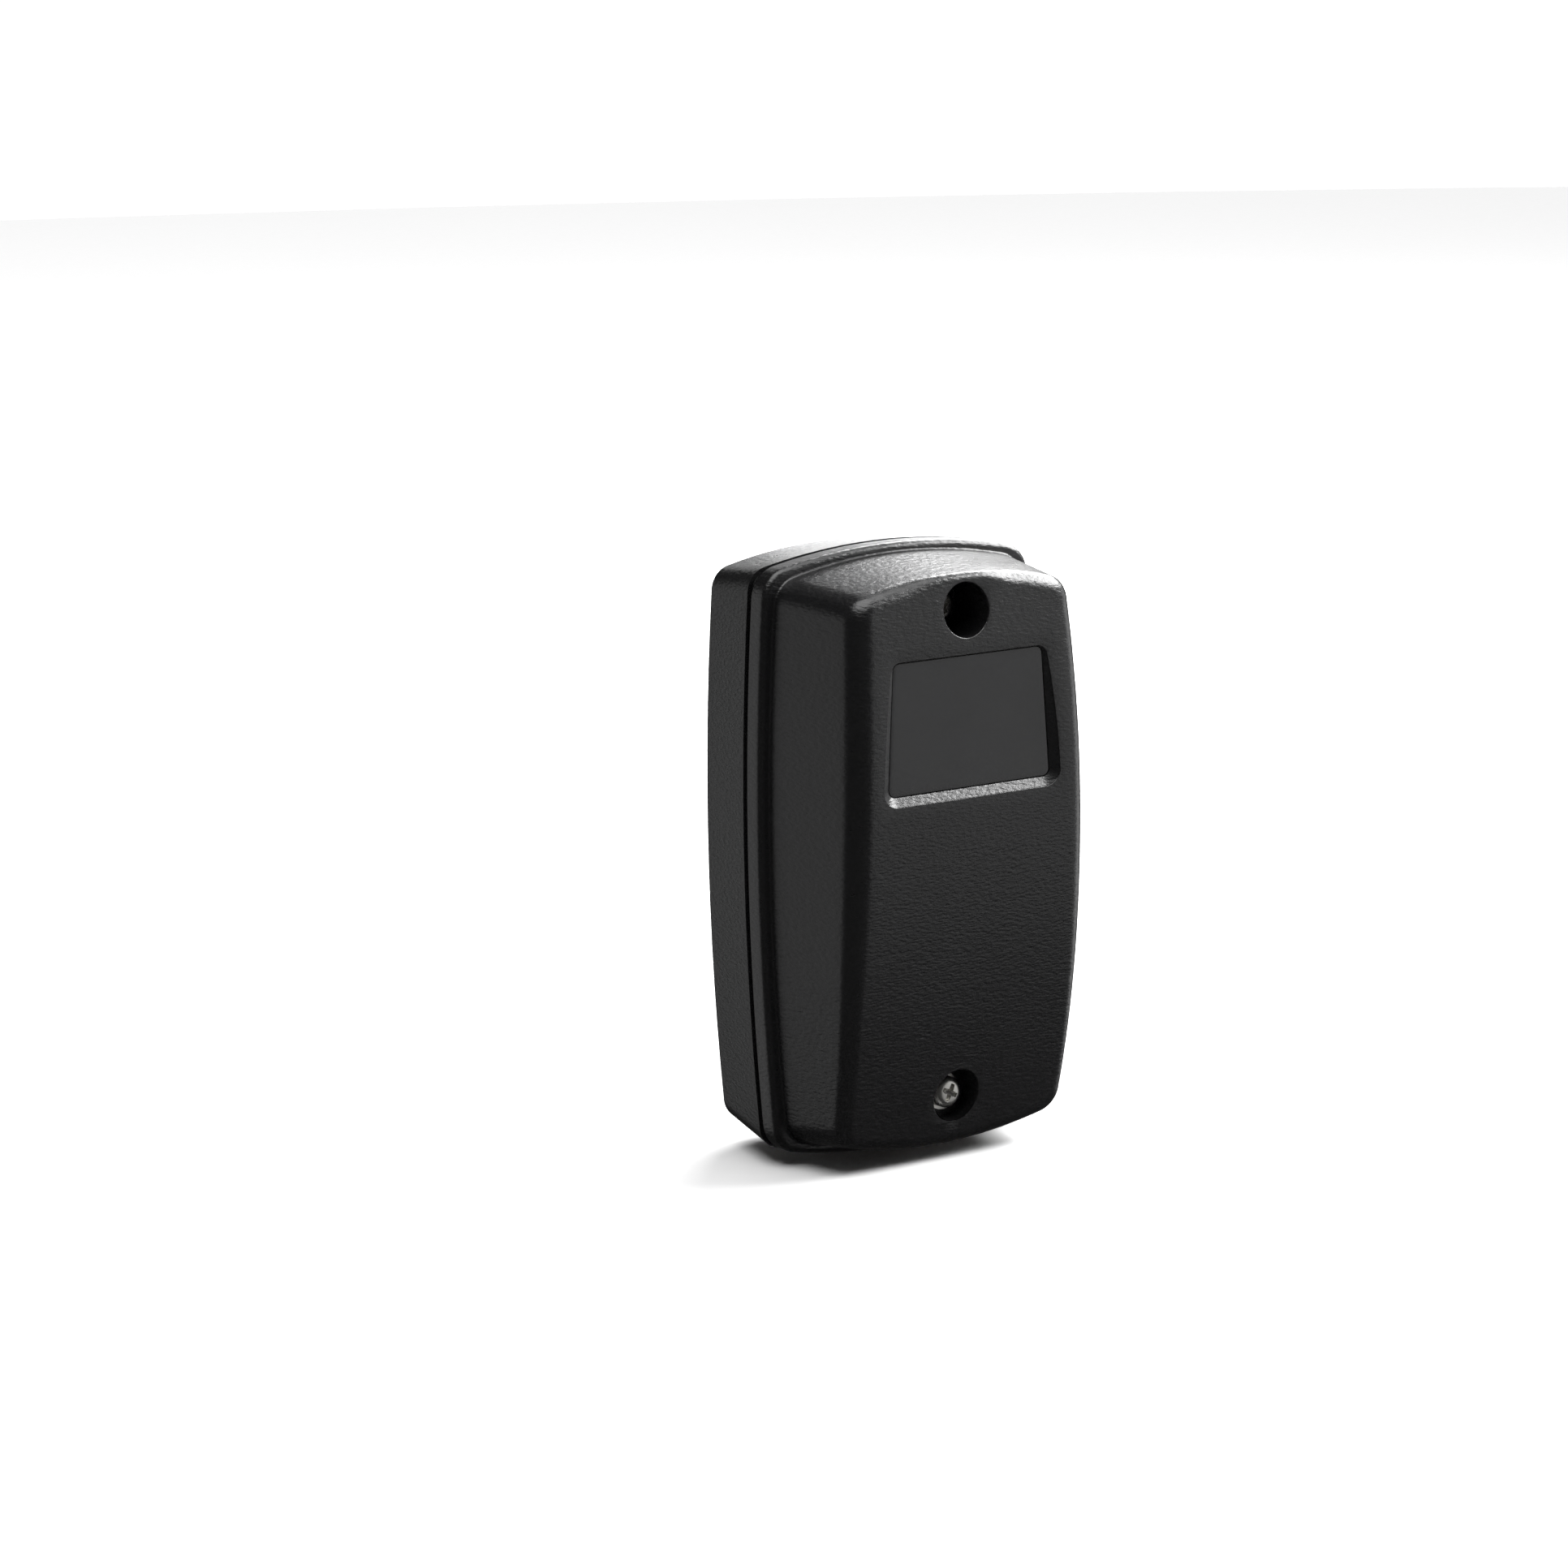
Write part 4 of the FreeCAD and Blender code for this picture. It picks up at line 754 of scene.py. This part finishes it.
class PHOTOCELL_OT_window(bpy.types.Operator):
    """Build the dark window plate with softened edges"""
    bl_idname = "photocell.window"
    bl_label = "Window"

    def execute(self, context):
        mm = in_mm(context.scene.photocell_details)
        loop, facing = window_outline(mm)
        front, back, soft = mm["window_front"], mm["window_front"] - mm["filter_thick"], 0.15
        # inset and depth of each loop from the back's edge, round the front's quarter-circle, to the front
        levels = [(1.0, back), (0.0, back), (0.0, front - soft)]
        for angle in np.linspace(0.3, QUARTER, 5):
            levels.append((soft * (1.0 - math.cos(angle)), front - soft * (1.0 - math.sin(angle))))
        levels.append((1.0, front))
        # each face then closes towards its middle, down to a cap of a fiftieth of the outline
        middle, cap = loop.mean(axis=0), 0.02
        rows = [middle + (loop - middle) * cap] + [loop - facing * inset for inset, _ in levels]
        rows += [middle + (loop - middle) * share for share in (0.7, 0.35, cap)]
        depths = [back] + [depth for _, depth in levels] + [front] * 3
        grid = np.array([np.column_stack([p[:, 0], np.full(len(p), -d), p[:, 1]])
                         for p, d in zip(rows, depths)])
        caps = np.arange(len(loop))[None]
        points = grid.reshape(-1, 3)
        last = len(points) - len(loop)
        surface("window_plate", [(points, quads(len(grid), len(loop))), (points[:len(loop)], caps[:, ::-1]),
                                 (points[last:], caps)],
                "cover", "filter_plastic", ["window_filter"], sharp=50.0)
        return {"FINISHED"}


class PHOTOCELL_OT_screws(bpy.types.Operator):
    """Build the two cover screws with pan heads, cross recesses and cut threads"""
    bl_idname = "photocell.screws"
    bl_label = "Cover screws"

    def execute(self, context):
        mm = in_mm(context.scene.photocell_details)
        for name, height, turn in (("top_screw", mm["top_screw"], 0.5),
                                   ("bottom_screw", -mm["bottom_screw"], 1.1)):
            surface(name + "_finished", [self.head(mm, height, turn), self.shank(mm, height)],
                    name, "screw_steel", [name], sharp=38.0)
        return {"FINISHED"}

    def head(self, mm, height, turn, count=120):
        """A pan head as a polar grid. With s = r / R its top falls by 0.25 s^2, and past s = 0.55 by
        0.75 t^2.6 more, where t goes from 0 there to 1 at the rim. A cross recess turned by turn is cut into
        it: its arms are 1 mm wide at the middle, narrow outwards and reach 1.55 mm, and it is 1.32 mm deep at
        the middle and 0.45 mm less for each mm outwards."""
        radius, tall = mm["head_radius"], mm["head_height"]
        half, reach, side_blend, end_blend = 0.5, 1.55, 0.12, 0.25
        rolled = 1.0 - 0.1 * np.cos(np.linspace(0.0, QUARTER, 10))[1:] ** 2
        share = np.concatenate([np.linspace(0.0, 0.9, 46), rolled])
        angle = np.linspace(0.0, TURN, count, endpoint=False)
        r, a = np.meshgrid(share * radius, angle, indexing="ij")
        shoulder = np.clip((r / radius - 0.55) / 0.45, 0.0, 1.0)
        top = tall - 0.25 * (r / radius) ** 2 - 0.75 * shoulder ** 2.6
        x, z = r * np.cos(a), r * np.sin(a)
        u = np.abs(x * math.cos(turn) + z * math.sin(turn))
        v = np.abs(z * math.cos(turn) - x * math.sin(turn))
        width = half - 0.1 * np.maximum(u, v)

        def arm(across, along):
            """1 inside an arm and 0 outside it, with soft walls."""
            return (smooth_step((width - across) / side_blend + 0.5)
                    * smooth_step((reach - along) / end_blend + 0.5))

        top -= np.maximum(arm(u, v), arm(v, u)) * (1.32 - 0.45 * r)
        grid = np.stack([x, -(mm["head_seat"] + top), z + height], axis=-1)
        wall = np.array([[1.0], [0.0]])
        skirt = np.stack([radius * wall * np.cos(angle), np.broadcast_to(-mm["head_seat"], (2, count)),
                          height + radius * wall * np.sin(angle)], axis=-1)
        grid = np.concatenate([grid, skirt])
        return grid.reshape(-1, 3), quads(len(grid), count)[:, ::-1]

    def shank(self, mm, height, count=30):
        """A threaded rod: past a plain neck its radius drops by up to 0.3 mm, in a triangle wave of
        (angle / turn + depth / pitch), and it ends in a plain tip 0.1 mm long and 0.35 mm less in radius."""
        neck, groove, tip, tip_less, end = 0.6, 0.3, 0.1, 0.35, mm["shank_length"]
        depth = np.concatenate([[0.0, 0.0, neck], np.arange(neck + 0.1, end - 0.5, mm["thread_pitch"] / 5)])
        depth = np.append(depth, [end - tip, end])
        angle = np.linspace(0.0, TURN, count, endpoint=False)
        d, a = np.meshgrid(depth, angle, indexing="ij")
        wave = np.abs(((a / TURN + d / mm["thread_pitch"]) % 1.0) * 2.0 - 1.0)
        r = mm["shank_radius"] - groove * wave * smooth_step((d - neck) / 0.4)
        r[-2:] = mm["shank_radius"] - tip_less
        r[[0, -1]] = 0.0
        grid = np.stack([r * np.cos(a), d - mm["head_seat"], height + r * np.sin(a)], axis=-1)
        return grid.reshape(-1, 3), quads(len(grid), count)[:, ::-1]


class PHOTOCELL_OT_optics(bpy.types.Operator):
    """Build the lens as a smooth turned surface"""
    bl_idname = "photocell.optics"
    bl_label = "Lens"

    def execute(self, context):
        """A flange with bevelled edges, and on it a cap of a sphere whose radius is (c^2 + h^2) / 2h, where c
        is the cap's own radius and h its height."""
        # the flange's width, thickness and bevel, and the upright foot of the cap, in mm
        flange, thick, bevel, rise = 0.82, 1.4, 0.1, 0.2
        low, high = (np.array(corner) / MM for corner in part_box("lens"))
        radius, x, z = (high[0] - low[0]) / 2, (high[0] + low[0]) / 2, (high[2] + low[2]) / 2
        front, back = -low[1], -high[1]
        crown = radius - flange
        cap_height = front - (back + thick + rise)
        sphere = (crown ** 2 + cap_height ** 2) / (2 * cap_height)
        r = np.linspace(crown, 0.0, 28)
        cap = front - sphere + np.sqrt(sphere ** 2 - r ** 2)
        profile = [(back, 0.0), (back, radius * 0.5), (back, radius - bevel), (back + bevel, radius),
                   (back + thick - bevel, radius), (back + thick, radius - bevel), (back + thick, crown),
                   *zip(cap, r)]
        surface("lens_polished", [lathe(profile, x, z)], ROOT_BODY, "lens_acrylic", ["lens"], sharp=40.0)
        return {"FINISHED"}


# -------------------- studio

class PHOTOCELL_OT_stage(bpy.types.Operator):
    """Build the pale floor, the soft studio lights and the camera"""
    bl_idname = "photocell.stage"
    bl_label = "Stage"

    def execute(self, context):
        self.floor(context)
        self.lights(context)
        self.camera(context)
        return {"FINISHED"}

    def floor(self, context):
        """A pale round floor, 3 m in radius, that the unit's foot touches: (r cos a, r sin a, foot)."""
        columns = 64
        radius = np.array([[0.001], [0.3], [1.0], [3.0]])
        angle = np.linspace(0.0, TURN, columns, endpoint=False)
        grid = np.stack(np.broadcast_arrays(radius * np.cos(angle), radius * np.sin(angle),
                                            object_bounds()[0][2]), axis=-1)
        mesh = bpy.data.meshes.new("floor")
        mesh.from_pydata(grid.reshape(-1, 3).tolist(), [], quads(len(radius), columns)[:, ::-1].tolist())
        floor = bpy.data.objects.new("floor", mesh)
        context.scene.collection.objects.link(floor)
        material, tree, place = blank("floor_painted_board")
        fine = add(tree, "ShaderNodeTexNoise", {"Vector": place, "Scale": PER_MM / 6.0}).outputs["Fac"]
        tint = add(tree, "ShaderNodeMix", {0: fine, 6: hex_colour("#f0f0f0"),
                                           7: hex_colour(context.scene.photocell_colours.floor)},
                   data_type="RGBA")
        shader = add(tree, "ShaderNodeBsdfPrincipled", {"Base Color": tint.outputs[2], "Roughness": 0.9})
        add(tree, "ShaderNodeOutputMaterial", {"Surface": shader.outputs["BSDF"]})
        mesh.materials.append(material)
        floor.visible_glossy = False
        floor.visible_shadow = False
        floor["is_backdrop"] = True

    def lights(self, context):
        """An overhead sky, soft boxes round the unit, and a dim surround that is white to the eye.

        Each box is (name, direction from the unit, distance m, width m, height m, watts)."""
        sky = bpy.data.lights.new("overhead", "SUN")
        sky.energy, sky.angle = 3.4, math.radians(62.0)
        above = bpy.data.objects.new("overhead", sky)
        above.rotation_euler = Vector((-0.1, -0.2, 1.0)).to_track_quat("Z", "Y").to_euler()
        context.scene.collection.objects.link(above)
        boxes = [("right_front", (0.66, -0.75, 0.0), 1.5, 0.9, 1.2, 2.3),
                 ("right_side", (0.96, -0.05, -0.12), 1.4, 0.8, 0.9, 3.0),
                 ("left_back", (-0.64, 0.75, -0.10), 1.4, 1.5, 1.2, 2.8),
                 ("behind", (0.56, 0.76, 0.42), 1.5, 1.0, 0.70, 1.7),
                 ("back_strip", (0.58, 0.81, 0.10), 1.5, 0.24, 0.12, 0.8),
                 ("rim_light", (0.66, 0.50, 0.58), 1.4, 0.6, 0.45, 14.0),
                 ("right_top", (0.78, -0.16, 0.54), 1.3, 1.2, 0.6, 40.0)]
        for name, direction, distance, width, height, watts in boxes:
            lamp = bpy.data.lights.new(name, "AREA")
            lamp.shape, lamp.size, lamp.size_y, lamp.energy = "RECTANGLE", width, height, watts
            box = bpy.data.objects.new(name, lamp)
            towards = Vector(direction).normalized()
            box.location = towards * distance
            box.rotation_euler = towards.to_track_quat("Z", "Y").to_euler()
            context.scene.collection.objects.link(box)
        unseen, white = 0.03, 1.05              # the surround's strength for reflections, and to the eye
        world = bpy.data.worlds.new("studio_surround")
        world.use_nodes = True
        tree = world.node_tree
        seen = add(tree, "ShaderNodeLightPath").outputs["Is Camera Ray"]
        level = add(tree, "ShaderNodeMapRange", {"Value": seen, "To Min": unseen, "To Max": white})
        tree.links.new(level.outputs["Result"], tree.nodes["Background"].inputs["Strength"])
        tree.nodes["Background"].inputs["Color"].default_value = (1.0, 1.0, 1.0, 1.0)
        context.scene.world = world
        context.scene.view_settings.view_transform = "Standard"

    def camera(self, context):
        """A long lens from the unit's left and a little above, turned so that the unit stands right of the
        frame's middle."""
        side, focal = 1932.0, 5616.0            # the frame's side and the focal length, in the same parts
        sensor = 36.0                           # mm
        unit_right, unit_down = 140.95, 76.16   # where the aim lies from the frame's middle, in those parts
        distance = 0.81698
        aim = Vector((0.0, -0.020, 0.0))
        back = Vector((-0.5652, -0.8011, 0.1969)).normalized()
        roll = math.radians(-0.957)
        right = (-back).cross(Vector((0.0, 0.0, 1.0))).normalized()
        up = right.cross(-back).normalized()
        across = right * math.cos(roll) + up * math.sin(roll)
        upward = up * math.cos(roll) - right * math.sin(roll)
        axes = Matrix((across, upward, back)).transposed()
        seen = Vector((unit_right / focal, -unit_down / focal, -1.0)).normalized()
        turn = seen.rotation_difference(Vector((0.0, 0.0, -1.0))).to_matrix()
        data = bpy.data.cameras.new("camera")
        data.sensor_width, data.lens = sensor, focal * sensor / side
        data.clip_start, data.clip_end = 0.01, 20.0
        camera = bpy.data.objects.new("camera", data)
        camera.matrix_world = Matrix.Translation(aim + back * distance) @ (axes @ turn).to_4x4()
        context.scene.collection.objects.link(camera)
        context.scene.camera = camera


class PHOTOCELL_PT_panel(bpy.types.Panel):
    """Lists the photocell's operators"""
    bl_label = "Photocell"
    bl_idname = "PHOTOCELL_PT_panel"
    bl_space_type = "VIEW_3D"
    bl_region_type = "UI"
    bl_category = "Photocell"

    def draw(self, context):
        for operator in OPERATORS:
            self.layout.operator(operator.bl_idname)


OPERATORS = (PHOTOCELL_OT_finishes, PHOTOCELL_OT_box, PHOTOCELL_OT_cover, PHOTOCELL_OT_window,
             PHOTOCELL_OT_screws, PHOTOCELL_OT_optics, PHOTOCELL_OT_stage)
GROUPS = (("photocell_case", PHOTOCELL_PG_case), ("photocell_details", PHOTOCELL_PG_details),
          ("photocell_colours", PHOTOCELL_PG_colours))


def register():
    for name, group in GROUPS:
        bpy.utils.register_class(group)
        setattr(bpy.types.Scene, name, bpy.props.PointerProperty(type=group))
    for operator in OPERATORS:
        bpy.utils.register_class(operator)
    bpy.utils.register_class(PHOTOCELL_PT_panel)


def unregister():
    bpy.utils.unregister_class(PHOTOCELL_PT_panel)
    for operator in reversed(OPERATORS):
        bpy.utils.unregister_class(operator)
    for name, group in reversed(GROUPS):
        delattr(bpy.types.Scene, name)
        bpy.utils.unregister_class(group)


def main():
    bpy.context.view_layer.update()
    register()
    bpy.ops.photocell.finishes()
    bpy.ops.photocell.box()
    bpy.ops.photocell.cover()
    bpy.ops.photocell.window()
    bpy.ops.photocell.screws()
    bpy.ops.photocell.optics()
    bpy.ops.photocell.stage()


if __name__ == "__main__":
    main()
